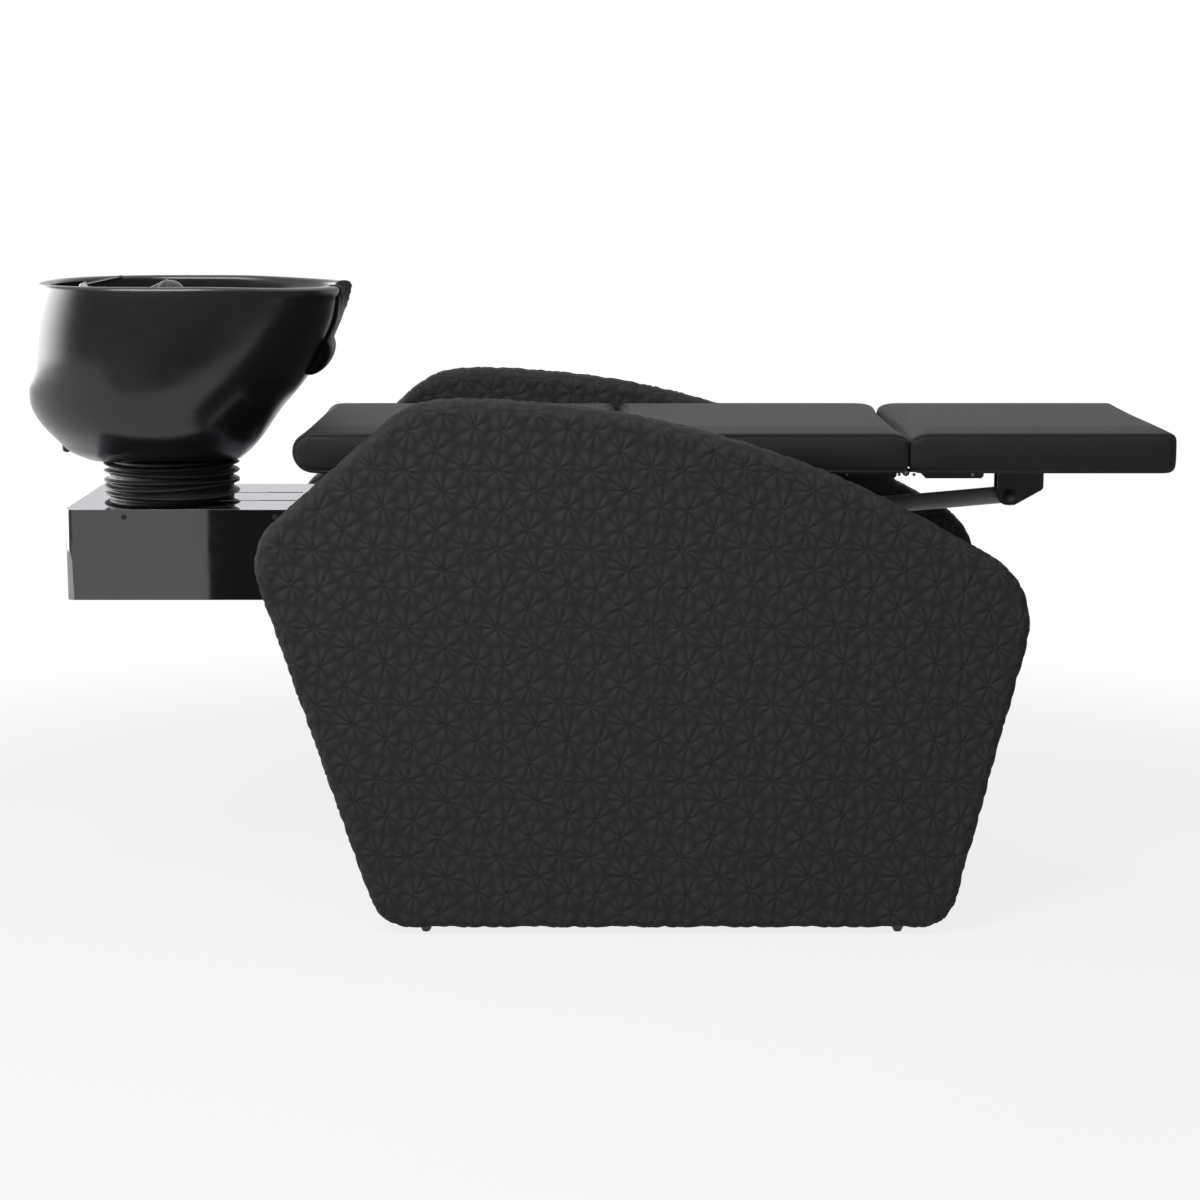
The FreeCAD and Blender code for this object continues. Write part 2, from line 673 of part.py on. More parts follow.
def seat_rail():
    x0, x1 = seat_span()
    body = square_tube_x(x0 + RAIL_END_GAP / 2, x1 - RAIL_END_GAP, RAIL_IN_Y, RAIL_OUT_Y,
                         PAD_BOTTOM_Z - RAIL_HEIGHT, PAD_BOTTOM_Z, RAIL_WALL)
    for place in (FRONT_TOP, REAR_TOP):
        body = body.cut(rod_y(RAIL_IN_Y, RAIL_OUT_Y, place, PIN_RADIUS + FIT))
    return body


def seat_cross_tubes():
    x0, x1 = seat_span()
    front = x1 - RAIL_END_GAP - CROSS_WIDTH
    rear = REAR_TOP[0] + ARM_HIGH_RADIUS + CROSS_WIDTH
    return [
        square_tube_y(x, x + CROSS_WIDTH, -RAIL_IN_Y, RAIL_IN_Y,
                      PAD_BOTTOM_Z - CROSS_HEIGHT, PAD_BOTTOM_Z, RAIL_WALL)
        for x in (rear, front)
    ]


def front_arm():
    plate = link_plate(FRONT_LOW, ARM_LOW_RADIUS, FRONT_TOP, ARM_HIGH_RADIUS, FRONT_ARM_IN_Y, FRONT_ARM_OUT_Y)
    plate = plate.cut(rod_y(FRONT_ARM_IN_Y, FRONT_ARM_OUT_Y, FRONT_LOW, SHAFT_RADIUS + FIT))
    return plate.cut(rod_y(FRONT_ARM_IN_Y, FRONT_ARM_OUT_Y, FRONT_TOP, PIN_RADIUS))


def rear_arm():
    y0 = REAR_ARM_IN_Y
    y1 = REAR_ARM_OUT_Y
    plate = joined([
        link_plate(REAR_LOW, ARM_LOW_RADIUS, REAR_TOP, ARM_HIGH_RADIUS, y0, y1),
        link_plate(REAR_TOP, BACK_CRANK_RADIUS, BACK_CRANK, BACK_CRANK_RADIUS, y0, y1),
    ])
    plate = plate.cut(rod_y(y0, y1, REAR_LOW, SHAFT_RADIUS + FIT))
    for place in (REAR_TOP, BACK_CRANK):
        plate = plate.cut(rod_y(y0, y1, place, PIN_RADIUS))
    return plate


def hub(place, half_width):
    outer = rod_y(-half_width, half_width, place, HUB_RADIUS)
    return outer.cut(rod_y(-half_width, half_width, place, SHAFT_RADIUS + FIT))


def front_pins():
    return pair(rod_y(FRONT_ARM_IN_Y, RAIL_OUT_Y + SIDE_PLAY / 2, FRONT_TOP, PIN_RADIUS))


def rear_pins():
    seat_pin = rod_y(RAIL_IN_Y, REAR_ARM_OUT_Y, REAR_TOP, PIN_RADIUS)
    link_pin = rod_y(REAR_ARM_IN_Y, BACK_LINK_OUT_Y + SIDE_PLAY / 2, BACK_CRANK, PIN_RADIUS)
    return pair(seat_pin) + pair(link_pin)


def front_cross_tube():
    return rod_y(-FRONT_ARM_IN_Y, FRONT_ARM_IN_Y, FRONT_TOP, ARM_HIGH_RADIUS - SIDE_PLAY)


def crank_plate():
    low = ARM_HIGH_RADIUS - SIDE_PLAY
    plate = link_plate(FRONT_TOP, low + CRANK_HUB_WALL, CRANK_PIN, LINK_EYE_RADIUS, CRANK_IN_Y, CRANK_OUT_Y)
    plate = plate.cut(rod_y(CRANK_IN_Y, CRANK_OUT_Y, FRONT_TOP, low))
    return plate.cut(rod_y(CRANK_IN_Y, CRANK_OUT_Y, CRANK_PIN, LINK_PIN_RADIUS))


def crank_pin():
    return rod_y(-CRANK_OUT_Y, CRANK_OUT_Y, CRANK_PIN, LINK_PIN_RADIUS)


def leg_link():
    run = math.hypot(LEG_PIN[0] - CRANK_PIN[0], LEG_PIN[1] - CRANK_PIN[1])
    heading = point(LEG_PIN[0] - CRANK_PIN[0], 0, LEG_PIN[1] - CRANK_PIN[1])
    pieces = [Part.makeCylinder(LINK_RADIUS, run, point(CRANK_PIN[0], 0, CRANK_PIN[1]), heading)]
    for place in (CRANK_PIN, LEG_PIN):
        pieces.append(rod_y(-LINK_HALF_WIDTH, LINK_HALF_WIDTH, place, LINK_EYE_RADIUS))
    body = joined(pieces)
    for place in (CRANK_PIN, LEG_PIN):
        body = body.cut(rod_y(-LINK_HALF_WIDTH, LINK_HALF_WIDTH, place, LINK_PIN_RADIUS + FIT))
    return body


def leg_bracket():
    x0 = LEG_PIN[0] - BRACKET_LEFT
    x1 = LEG_PIN[0] + BRACKET_RIGHT
    top = PAD_BOTTOM_Z
    shoulder = top - BRACKET_SHOULDER
    out_y = CRANK_IN_Y + CHEEK_THICKNESS
    plate = slab_y([
        (x0, top, 0),
        (x0, LEG_PIN[1] - BRACKET_NOSE_RADIUS, BRACKET_NOSE_RADIUS),
        (LEG_PIN[0] + BRACKET_NOSE_RADIUS / 2, LEG_PIN[1] - BRACKET_NOSE_RADIUS, BRACKET_NOSE_RADIUS / 2),
        (x1, shoulder, BRACKET_NOSE_RADIUS / 2),
        (x1, top, 0),
    ], CRANK_IN_Y, out_y)
    plate = plate.cut(rod_y(CRANK_IN_Y, out_y, LEG_PIN, LINK_PIN_RADIUS))
    bridge = block(x0, x1, -out_y, out_y, top - CHEEK_THICKNESS, top)
    return joined(pair(plate) + [bridge])


def leg_pin():
    half = CRANK_IN_Y + CHEEK_THICKNESS
    return rod_y(-half - SIDE_PLAY, half + SIDE_PLAY, LEG_PIN, LINK_PIN_RADIUS)


def strap_leaf(x0, x1, knuckle_side):
    """Hinge leaf: thin strap under the pad with a deeper channel and a knuckle at one end."""
    y0 = STRAP_MID_Y - STRAP_WIDTH / 2
    y1 = STRAP_MID_Y + STRAP_WIDTH / 2
    top = PAD_BOTTOM_Z
    low = top - STRAP_DEPTH
    channel = slab_y([
        (x0, top, 0), (x0, low + STRAP_CHAMFER, 0), (x0 + STRAP_CHAMFER, low, 0),
        (x1 - STRAP_CHAMFER, low, 0), (x1, low + STRAP_CHAMFER, 0), (x1, top, 0),
    ], y0, y1)
    tongue_x = LEG_HINGE[0] + knuckle_side * KNUCKLE_RADIUS
    near = min(max(tongue_x, x0), x1)
    tongue = block(min(tongue_x, near), max(tongue_x, near), y0, y1, top - STRAP_THICKNESS, top)
    return joined([channel, tongue])


def strap_knuckle(y0, y1, knuckle_side):
    barrel = rod_y(y0, y1, LEG_HINGE, KNUCKLE_RADIUS)
    reach = LEG_HINGE[0] + knuckle_side * (KNUCKLE_RADIUS + STRAP_THICKNESS)
    root = block(min(LEG_HINGE[0], reach), max(LEG_HINGE[0], reach), y0, y1,
                 PAD_BOTTOM_Z - STRAP_THICKNESS, PAD_BOTTOM_Z)
    return joined([barrel, root])


def strap_hinge(knuckle_side):
    y0 = STRAP_MID_Y - STRAP_WIDTH / 2
    y1 = STRAP_MID_Y + STRAP_WIDTH / 2
    third = STRAP_WIDTH / 3
    relief = rod_y(y0, y1, LEG_HINGE, KNUCKLE_RADIUS + FIT)
    if knuckle_side < 0:
        end = LEG_HINGE[0] - SEAT_STRAP_SETBACK
        leaf = strap_leaf(end - STRAP_LENGTH, end, knuckle_side)
        spans = [(y0, y0 + third - FIT), (y1 - third + FIT, y1)]
    else:
        start = LEG_HINGE[0] + LEG_STRAP_SETBACK
        leaf = strap_leaf(start, start + STRAP_LENGTH, knuckle_side)
        spans = [(y0 + third, y1 - third)]
    pieces = [leaf.cut(relief)] + [strap_knuckle(a, b, knuckle_side) for a, b in spans]
    bore = HINGE_PIN_RADIUS + (FIT if knuckle_side > 0 else 0)
    return joined(pieces).cut(rod_y(y0, y1, LEG_HINGE, bore))


def hinge_pin():
    y0 = STRAP_MID_Y - STRAP_WIDTH / 2
    y1 = STRAP_MID_Y + STRAP_WIDTH / 2
    return rod_y(y0, y1, LEG_HINGE, HINGE_PIN_RADIUS)


def floor_rail():
    return square_tube_x(FRAME_REAR_X, FRAME_FRONT_X, FRAME_IN_Y, FRAME_OUT_Y,
                         FLOOR_GAP, FRAME_TOP_Z, FRAME_WALL)


def cross_member(x):
    return square_tube_y(x, x + FRAME_TUBE, -FRAME_IN_Y, FRAME_IN_Y, FLOOR_GAP, FRAME_TOP_Z, FRAME_WALL)


def floor_frame():
    members = [cross_member(FRAME_FRONT_X - FRAME_TUBE), cross_member(POST_REAR_X)]
    return pair(floor_rail()) + members


def pivot_plate():
    x0 = REAR_LOW[0] - PIVOT_PLATE_MARGIN
    x1 = FRONT_LOW[0] + PIVOT_PLATE_MARGIN
    top = REAR_LOW[1] + PIVOT_PLATE_MARGIN
    body = slab_y([
        (x0, FRAME_TOP_Z, 0), (x1, FRAME_TOP_Z, 0),
        (x1, top, PIVOT_WINDOW_ROUND), (x0, top, PIVOT_WINDOW_ROUND),
    ], PLATE_IN_Y, PLATE_OUT_Y)
    edge = PIVOT_WINDOW_MARGIN
    window = slab_y([
        (x0 + edge, FRAME_TOP_Z + edge, PIVOT_WINDOW_ROUND),
        (x1 - edge, FRAME_TOP_Z + edge, PIVOT_WINDOW_ROUND),
        (x1 - edge, REAR_LOW[1] - edge, PIVOT_WINDOW_ROUND),
        (x0 + edge, REAR_LOW[1] - edge, PIVOT_WINDOW_ROUND),
    ], PLATE_IN_Y, PLATE_OUT_Y)
    body = body.cut(window)
    for place in (REAR_LOW, FRONT_LOW):
        body = body.cut(rod_y(PLATE_IN_Y, PLATE_OUT_Y, place, SHAFT_RADIUS))
    return body


def lift_shaft(place):
    return rod_y(-PLATE_OUT_Y, PLATE_OUT_Y, place, SHAFT_RADIUS)


def shaft_spacers():
    spacers = []
    start = REAR_ARM_OUT_Y + SIDE_PLAY
    for place in (REAR_LOW, FRONT_LOW):
        outer = rod_y(start, PLATE_IN_Y, place, SHAFT_RADIUS + SPACER_WALL)
        spacers += pair(outer.cut(rod_y(start, PLATE_IN_Y, place, SHAFT_RADIUS)))
    return spacers


def front_kick_board():
    return block(FRAME_FRONT_X, FRAME_FRONT_X + KICK_THICKNESS, -PANEL_IN_Y, PANEL_IN_Y,
                 FLOOR_GAP, FLOOR_GAP + FRONT_KICK_HEIGHT)


def rear_kick_board():
    return block(FRAME_REAR_X - KICK_THICKNESS, FRAME_REAR_X, -PANEL_IN_Y, PANEL_IN_Y,
                 FLOOR_GAP, FLOOR_GAP + REAR_KICK_HEIGHT)


def rear_post():
    half = POST_WIDTH / 2
    return square_tube_z(POST_REAR_X, POST_FRONT_X, POST_MID_Y - half, POST_MID_Y + half,
                         FRAME_TOP_Z, BOX_BOTTOM_Z + BOX_SHEET, FRAME_WALL)


def box_beam():
    half = POST_WIDTH / 2
    low = BOX_BOTTOM_Z + BOX_SHEET
    return square_tube_x(BOX_REAR_X + BOX_SHEET + BOX_CORNER_ROUND, POST_FRONT_X,
                         POST_MID_Y - half, POST_MID_Y + half, low, low + FRAME_TUBE, FRAME_WALL)


def post_crossbar():
    half = POST_MID_Y - POST_WIDTH / 2
    return square_tube_y(POST_REAR_X, POST_FRONT_X, -half, half, CROSSBAR_TOP_Z - FRAME_TUBE, CROSSBAR_TOP_Z,
                         FRAME_WALL)


def drive_saddle():
    middle = (POST_REAR_X + POST_FRONT_X) / 2
    half = SADDLE_WIDTH / 2
    body = block(middle - SADDLE_LENGTH / 2, middle + SADDLE_LENGTH / 2, DRIVE_Y - half, DRIVE_Y + half,
                 CROSSBAR_TOP_Z, DRIVE_Z)
    return body.cut(rod_x(DRIVE_TAIL_X, DRIVE_NOSE_X, DRIVE_Y, DRIVE_Z, DRIVE_RADIUS))


def drive_housing():
    tube = rod_x(DRIVE_TAIL_X, DRIVE_NOSE_X, DRIVE_Y, DRIVE_Z, DRIVE_RADIUS)
    motor_x = DRIVE_TAIL_X + MOTOR_RADIUS + MOTOR_INSET
    motor = rod_z(DRIVE_Z - DRIVE_RADIUS - MOTOR_LENGTH, DRIVE_Z, motor_x, DRIVE_Y, MOTOR_RADIUS)
    bore_tail = DRIVE_NOSE_X - ROD_HOLD - 2 * DRIVE_HALF_STROKE - SIDE_PLAY
    bore = rod_x(bore_tail, DRIVE_NOSE_X, DRIVE_Y, DRIVE_Z, ROD_RADIUS + FIT)
    return joined([tube, motor]).cut(bore)


def drive_rod():
    shank = rod_x(DRIVE_NOSE_X - ROD_HOLD, DRIVE_PIN_X, DRIVE_Y, DRIVE_Z, ROD_RADIUS)
    eye = rod_y(DRIVE_Y - ROD_RADIUS, DRIVE_Y + ROD_RADIUS, (DRIVE_PIN_X, DRIVE_Z), ROD_EYE_RADIUS)
    hole = rod_y(DRIVE_Y - ROD_RADIUS, DRIVE_Y + ROD_RADIUS, (DRIVE_PIN_X, DRIVE_Z), PIN_RADIUS)
    return joined([shank, eye]).cut(hole)


def drive_pin():
    half = LEVER_OUT_REACH + SIDE_PLAY
    return rod_y(DRIVE_Y - half, DRIVE_Y + half, (DRIVE_PIN_X, DRIVE_Z), PIN_RADIUS)


def drive_levers():
    """Slotted levers under the rear hub; the slot lets the straight-moving pin follow the turn."""
    lean = math.radians(LIFT_TRAVEL_DEG / 2)
    near_reach = DRIVE_DROP - SIDE_PLAY
    far_reach = DRIVE_DROP / math.cos(lean) + SIDE_PLAY
    slot_radius = PIN_RADIUS + SLOT_CLEARANCE

    def along(reach):
        return (REAR_LOW[0] + reach * math.sin(lean), REAR_LOW[1] - reach * math.cos(lean))

    levers = []
    for y0 in (DRIVE_Y - LEVER_OUT_REACH, DRIVE_Y + LEVER_IN_REACH):
        y1 = y0 + LEVER_THICKNESS
        plate = link_plate(REAR_LOW, HUB_RADIUS + LEVER_THICKNESS, along(far_reach), LEVER_END_RADIUS, y0, y1)
        plate = plate.cut(rod_y(y0, y1, REAR_LOW, HUB_RADIUS))
        slot = link_plate(along(near_reach), slot_radius, along(far_reach), slot_radius, y0, y1)
        levers.append(plate.cut(slot))
    return levers


def control_box():
    y1 = FRAME_IN_Y
    y0 = y1 - CONTROL_WIDTH
    x1 = FRAME_FRONT_X - FRAME_TUBE
    x0 = x1 - CONTROL_LENGTH
    r = CONTROL_ROUND
    return slab_z([(x0, y0, r), (x1, y0, r), (x1, y1, 0), (x0, y1, 0)], FLOOR_GAP, FLOOR_GAP + CONTROL_HEIGHT)


def box_outline(inset, top_round):
    half = BOX_HALF_WIDTH - inset
    rear = BOX_REAR_X + inset
    return [
        (rear, -half, top_round), (BOX_FRONT_X, -half, 0),
        (BOX_FRONT_X, half, 0), (rear, half, top_round),
    ]


def service_box():
    outer = slab_z(box_outline(0, BOX_CORNER_ROUND), BOX_BOTTOM_Z, LID_TOP_Z)
    inner = slab_z(box_outline(BOX_SHEET, BOX_CORNER_ROUND - BOX_SHEET), BOX_BOTTOM_Z + BOX_SHEET, LID_TOP_Z)
    body = outer.cut(inner)
    for screw in screw_shanks(SCREW_RADIUS):
        body = body.cut(screw)
    return body


def screw_xs():
    return [BOX_REAR_X + LID_SCREW_INSET, BOX_FRONT_X - LID_SCREW_INSET]


def screw_shanks(radius):
    z = LID_TOP_Z - LID_SCREW_DROP
    depth = BOX_SHEET * 2 + FIT
    shanks = []
    for x in screw_xs():
        shanks += pair(rod_y(BOX_HALF_WIDTH - depth, BOX_HALF_WIDTH, (x, z), radius))
    return shanks


def lid_screws():
    z = LID_TOP_Z - LID_SCREW_DROP
    screws = []
    for shank in screw_shanks(SCREW_RADIUS):
        middle = shank.BoundBox.Center
        side = 1 if middle.y > 0 else -1
        ends = sorted((side * BOX_HALF_WIDTH, side * (BOX_HALF_WIDTH + SCREW_HEAD_HEIGHT)))
        head = rod_y(ends[0], ends[1], (middle.x, z), SCREW_HEAD_RADIUS)
        screws.append(joined([shank, head]))
    return screws


def box_lid():
    inset = BOX_SHEET + FIT
    radius = BOX_CORNER_ROUND - inset
    plate = slab_z(box_outline(inset, radius), LID_LOW_Z, LID_TOP_Z)
    skirt = slab_z(box_outline(inset, radius), LID_TOP_Z - LID_FLANGE, LID_LOW_Z)
    hollow = slab_z(box_outline(inset + BOX_SHEET, radius - BOX_SHEET), LID_TOP_Z - LID_FLANGE, LID_LOW_Z)
    body = joined([plate, skirt.cut(hollow)])
    slot_half = SLOT_WIDTH / 2
    x0 = BOWL_AXIS_X - RUNNER_REAR_REACH - SIDE_PLAY
    x1 = BOWL_AXIS_X + RUNNER_FRONT_REACH + SLIDE_TRAVEL + SIDE_PLAY
    for side in (-1, 1):
        y = side * SLOT_Y
        body = body.cut(block(x0, x1, y - slot_half, y + slot_half, LID_LOW_Z, LID_TOP_Z))
    half = HOSE_OPENING_HALF
    body = body.cut(slab_z([
        (BOWL_AXIS_X - half, -half, half / 2), (BOWL_AXIS_X + half + SLIDE_TRAVEL, -half, half / 2),
        (BOWL_AXIS_X + half + SLIDE_TRAVEL, half, half / 2), (BOWL_AXIS_X - half, half, half / 2),
    ], LID_LOW_Z, LID_TOP_Z))
    for screw in screw_shanks(SCREW_RADIUS):
        body = body.cut(screw)
    return body


def carriage_plate():
    half_length = CARRIAGE_LENGTH / 2
    half_width = CARRIAGE_WIDTH / 2
    body = block(BOWL_AXIS_X - half_length, BOWL_AXIS_X + half_length, -half_width, half_width,
                 CARRIAGE_LOW_Z, CARRIAGE_TOP_Z)
    body = body.cut(rod_z(CARRIAGE_LOW_Z, CARRIAGE_TOP_Z, BOWL_AXIS_X, 0, TAIL_HOLE_RADIUS))
    ears = []
    y0 = TILT_EAR_Y
    y1 = y0 + TILT_EAR_THICKNESS
    place = (BOWL_AXIS_X, TILT_Z)
    foot = (BOWL_AXIS_X, CARRIAGE_TOP_Z + SIDE_PLAY)
    for ear in pair(link_plate(foot, TILT_EAR_RADIUS, place, TILT_EAR_RADIUS, y0, y1)):
        floor = block(BOWL_AXIS_X - half_length, BOWL_AXIS_X + half_length, -half_width, half_width,
                      LID_TOP_Z - TILT_EAR_RADIUS, CARRIAGE_LOW_Z)
        ears.append(ear.cut(floor))
    body = joined([body] + ears)
    for hole in pair(rod_y(y0, y1, place, TILT_PIN_RADIUS)):
        body = body.cut(hole)
    return body


def carriage_runners():
    half = SLOT_WIDTH / 2 - FIT
    low = LID_LOW_Z - FIT
    return pair(block(BOWL_AXIS_X - RUNNER_REAR_REACH, BOWL_AXIS_X + RUNNER_FRONT_REACH,
                      SLOT_Y - half, SLOT_Y + half, low, CARRIAGE_LOW_Z))


def carriage_clamp():
    top = LID_LOW_Z - FIT
    half_width = CARRIAGE_WIDTH / 2
    body = block(BOWL_AXIS_X - RUNNER_REAR_REACH, BOWL_AXIS_X + RUNNER_FRONT_REACH, -half_width, half_width,
                 top - CLAMP_THICKNESS, top)
    return body.cut(rod_z(top - CLAMP_THICKNESS, top, BOWL_AXIS_X, 0, TAIL_HOLE_RADIUS))


def tilt_pins():
    y0 = TILT_EAR_Y - SIDE_PLAY - TILT_EAR_THICKNESS
    y1 = TILT_EAR_Y + TILT_EAR_THICKNESS
    return pair(rod_y(y0, y1, (BOWL_AXIS_X, TILT_Z), TILT_PIN_RADIUS))


def tilt_bracket():
    """Round plate under the bowl with two lugs on the tilt pins."""
    low = BOWL_BOTTOM_Z - MOUNT_THICKNESS
    plate = rod_z(low, BOWL_BOTTOM_Z, BOWL_AXIS_X, 0, MOUNT_RADIUS)
    plate = plate.cut(rod_z(low, BOWL_BOTTOM_Z, BOWL_AXIS_X, 0, TAIL_HOLE_RADIUS))
    y1 = TILT_EAR_Y - SIDE_PLAY
    y0 = y1 - TILT_EAR_THICKNESS
    place = (BOWL_AXIS_X, TILT_Z)
    lug = link_plate(place, TILT_EAR_RADIUS, (BOWL_AXIS_X, low), TILT_EAR_RADIUS, y0, y1)
    roof = block(BOWL_AXIS_X - MOUNT_RADIUS, BOWL_AXIS_X + MOUNT_RADIUS, -MOUNT_RADIUS, MOUNT_RADIUS,
                 BOWL_BOTTOM_Z, BOWL_BOTTOM_Z + TILT_EAR_RADIUS)
    body = joined([plate] + pair(lug.cut(roof)))
    for hole in pair(rod_y(y0, y1, place, TILT_PIN_RADIUS + FIT)):
        body = body.cut(hole)
    return body


def bellows():
    """Rubber boot turned from a waved wall between the lid and the bowl."""
    low = LID_TOP_Z + FIT
    rise = BOWL_BOTTOM_Z - low - FIT
    turns = sorted(
        [(share, BELLOWS_VALLEY_RADIUS) for share in BELLOWS_VALLEY_SHARES]
        + [(share, BELLOWS_RIDGE_RADIUS) for share in BELLOWS_RIDGE_SHARES]
    )
    outside = [point(BOWL_AXIS_X + radius, 0, low + rise * share) for share, radius in turns]
    inside = [spot - point(BELLOWS_WALL, 0, 0) for spot in reversed(outside)]
    outline = Part.makePolygon(outside + inside + outside[:1])
    return Part.Face(outline).revolve(point(BOWL_AXIS_X, 0, 0), point(0, 0, 1), 360)


def ring_wire(ring, grow):
    """Closed smooth ring of the bowl: a squared oval with its own rear and front reach."""
    height, rear, front, side, square = ring
    z = BOWL_BOTTOM_Z + BOWL_HEIGHT * height
    half = BOWL_SIDE_HALF * side + grow
    spots = []
    for i in range(RING_POINTS):
        turn = 2 * math.pi * i / RING_POINTS
        c = math.cos(turn)
        s = math.sin(turn)
        reach = BOWL_FRONT_HALF * front + grow if c > 0 else BOWL_REAR_HALF * rear + grow
        x = BOWL_AXIS_X + math.copysign(abs(c) ** (2 / square), c) * reach
        y = math.copysign(abs(s) ** (2 / square), s) * half
        spots.append(point(x, y, z))
    curve = Part.BSplineCurve()
    curve.interpolate(Points=spots, PeriodicFlag=True)
    return Part.Wire(curve.toShape())


def ring_loft(rings, grow):
    return Part.makeLoft([ring_wire(ring, grow) for ring in rings], True, False)


def neck_cylinder(radius):
    axis_z = RIM_Z - NECK_DIP + NECK_RADIUS
    return rod_x(BOWL_AXIS_X, BOWL_AXIS_X + 2 * BOWL_FRONT_HALF, 0, axis_z, radius)


def bowl():
    body = ring_loft(BOWL_RING_SHARES, 0)
    body = body.cut(ring_loft(BASIN_RING_SHARES, 0))
    body = body.cut(ring_loft(RECESS_RING_SHARES, 0))
    level = [edge for edge in body.Edges if edge.BoundBox.ZLength < FIT]
    rims = [edge for edge in level if abs(edge.BoundBox.ZMin - RIM_Z) < FIT]
    body = body.makeFillet(RIM_ROUND, rims)
    body = body.cut(neck_cylinder(NECK_RADIUS))
    for hole in bowl_holes():
        body = body.cut(hole)
    return body


def mixer_x():
    return BOWL_REAR_X + MIXER_INSET


def shower_x():
    return BOWL_REAR_X + SHOWER_X_INSET


def bowl_holes():
    shank = rod_z(DECK_Z - MIXER_BODY_HEIGHT, RIM_Z, mixer_x(), MIXER_Y, SHANK_RADIUS)
    seat = rod_z(DECK_Z - MIXER_BODY_HEIGHT, RIM_Z, shower_x(), SHOWER_Y, HOLDER_RADIUS - HOLDER_FLANGE)
    drain = rod_z(BOWL_BOTTOM_Z, RIM_Z, BOWL_AXIS_X, 0, DRAIN_HOLE_RADIUS)
    plug = rod_z(BOWL_BOTTOM_Z, GROMMET_TOP_Z, BOWL_REAR_X + GROMMET_X_INSET, 0, GROMMET_RADIUS)
    return [shank, seat, drain, plug]


def neck_rest():
    """Rubber saddle over the front lip, with a rolled bead along its lower edge."""
    shell = ring_loft(BOWL_RING_SHARES, REST_THICKNESS).cut(ring_loft(BOWL_RING_SHARES, FIT))
    far = BOWL_AXIS_X + 2 * BOWL_FRONT_HALF
    window = block(BOWL_AXIS_X + BOWL_FRONT_HALF / 2, far, -REST_HALF_WIDTH, REST_HALF_WIDTH,
                   REST_BOTTOM_Z, RIM_Z)
    apron = shell.common(window).cut(neck_cylinder(NECK_RADIUS - REST_THICKNESS))
    lining = neck_cylinder(NECK_RADIUS - FIT).cut(neck_cylinder(NECK_RADIUS - REST_THICKNESS))
    start = BOWL_AXIS_X + BOWL_FRONT_HALF - REST_INSIDE_REACH
    lip = BOWL_AXIS_X + BOWL_FRONT_HALF + REST_THICKNESS
    half = REST_HALF_WIDTH
    saddle = lining.common(block(start, lip, -half, half, BOWL_BOTTOM_Z, RIM_Z - REST_TOP_DROP))
    saddle = saddle.common(ring_loft(BOWL_RING_SHARES, REST_THICKNESS))
    return joined([apron, saddle, rest_bead()])


def rest_bead():
    """Bead that follows the front of the bowl on a level arc through three points."""
    share = (BEAD_Z - BOWL_BOTTOM_Z) / BOWL_HEIGHT
    lower = max(ring for ring in BOWL_RING_SHARES if ring[0] <= share)
    upper = min(ring for ring in BOWL_RING_SHARES if ring[0] > share)
    blend = (share - lower[0]) / (upper[0] - lower[0])
    ring = tuple(a + (b - a) * blend for a, b in zip(lower, upper))
    grow = REST_THICKNESS / 2

    def on_ring(turn):
        c = math.cos(turn)
        s = math.sin(turn)
        x = BOWL_AXIS_X + c ** (2 / ring[4]) * (BOWL_FRONT_HALF * ring[2] + grow)
        y = math.copysign(abs(s) ** (2 / ring[4]), s) * (BOWL_SIDE_HALF * ring[3] + grow)
        return point(x, y, BEAD_Z)

    swing = math.radians(BEAD_SWING_DEG)
    arc = Part.Arc(on_ring(-swing), on_ring(0), on_ring(swing)).toShape()
    start = arc.valueAt(arc.FirstParameter)
    up = point(0, 0, 1)
    out = arc.tangentAt(arc.FirstParameter).cross(up)
    out.normalize()
    roll = Part.Ellipse(start + up * BEAD_HALF_HEIGHT, start + out * BEAD_HALF_DEPTH, start)
    roll_wire = Part.Wire(roll.toShape())
    return Part.Wire(arc).makePipeShell([roll_wire], True, True).cut(ring_loft(BOWL_RING_SHARES, FIT))


def grommet():
    x = BOWL_REAR_X + GROMMET_X_INSET
    return rod_z(GROMMET_TOP_Z - GROMMET_LENGTH, GROMMET_TOP_Z, x, 0, GROMMET_RADIUS)


def mixer_base():
    base = rod_z(DECK_Z, DECK_Z + MIXER_BASE_HEIGHT, mixer_x(), MIXER_Y, MIXER_BASE_RADIUS)
    body = rod_z(DECK_Z, DECK_Z + MIXER_BODY_HEIGHT, mixer_x(), MIXER_Y, MIXER_BODY_RADIUS)
    shank = rod_z(DECK_Z - MIXER_BODY_HEIGHT, DECK_Z, mixer_x(), MIXER_Y, SHANK_RADIUS - FIT)
    return joined([base, body, shank])


def mixer_cap_low():
    return DECK_Z + MIXER_BODY_HEIGHT + FIT


def lever_pivot():
    return point(mixer_x(), MIXER_Y, mixer_cap_low() + MIXER_CAP_HEIGHT - LEVER_ROOT_RADIUS)


def mixer_cap():
    """Domed turning cap with a slot for the lever toward the front."""
    low = mixer_cap_low()
    top = low + MIXER_CAP_HEIGHT
    cap = rod_z(low, top, mixer_x(), MIXER_Y, MIXER_CAP_RADIUS)
    rims = [edge for edge in cap.Edges if edge.BoundBox.ZMin > low + MIXER_CAP_HEIGHT / 2]
    cap = cap.makeFillet(MIXER_CAP_ROUND, rims)
    half = LEVER_ROD_RADIUS + FIT
    reach = LEVER_ROOT_RADIUS + FIT
    pivot = lever_pivot()
    slot = block(pivot.x - reach, pivot.x + MIXER_CAP_RADIUS, MIXER_Y - half, MIXER_Y + half,
                 pivot.z - reach, top)
    return cap.cut(slot)


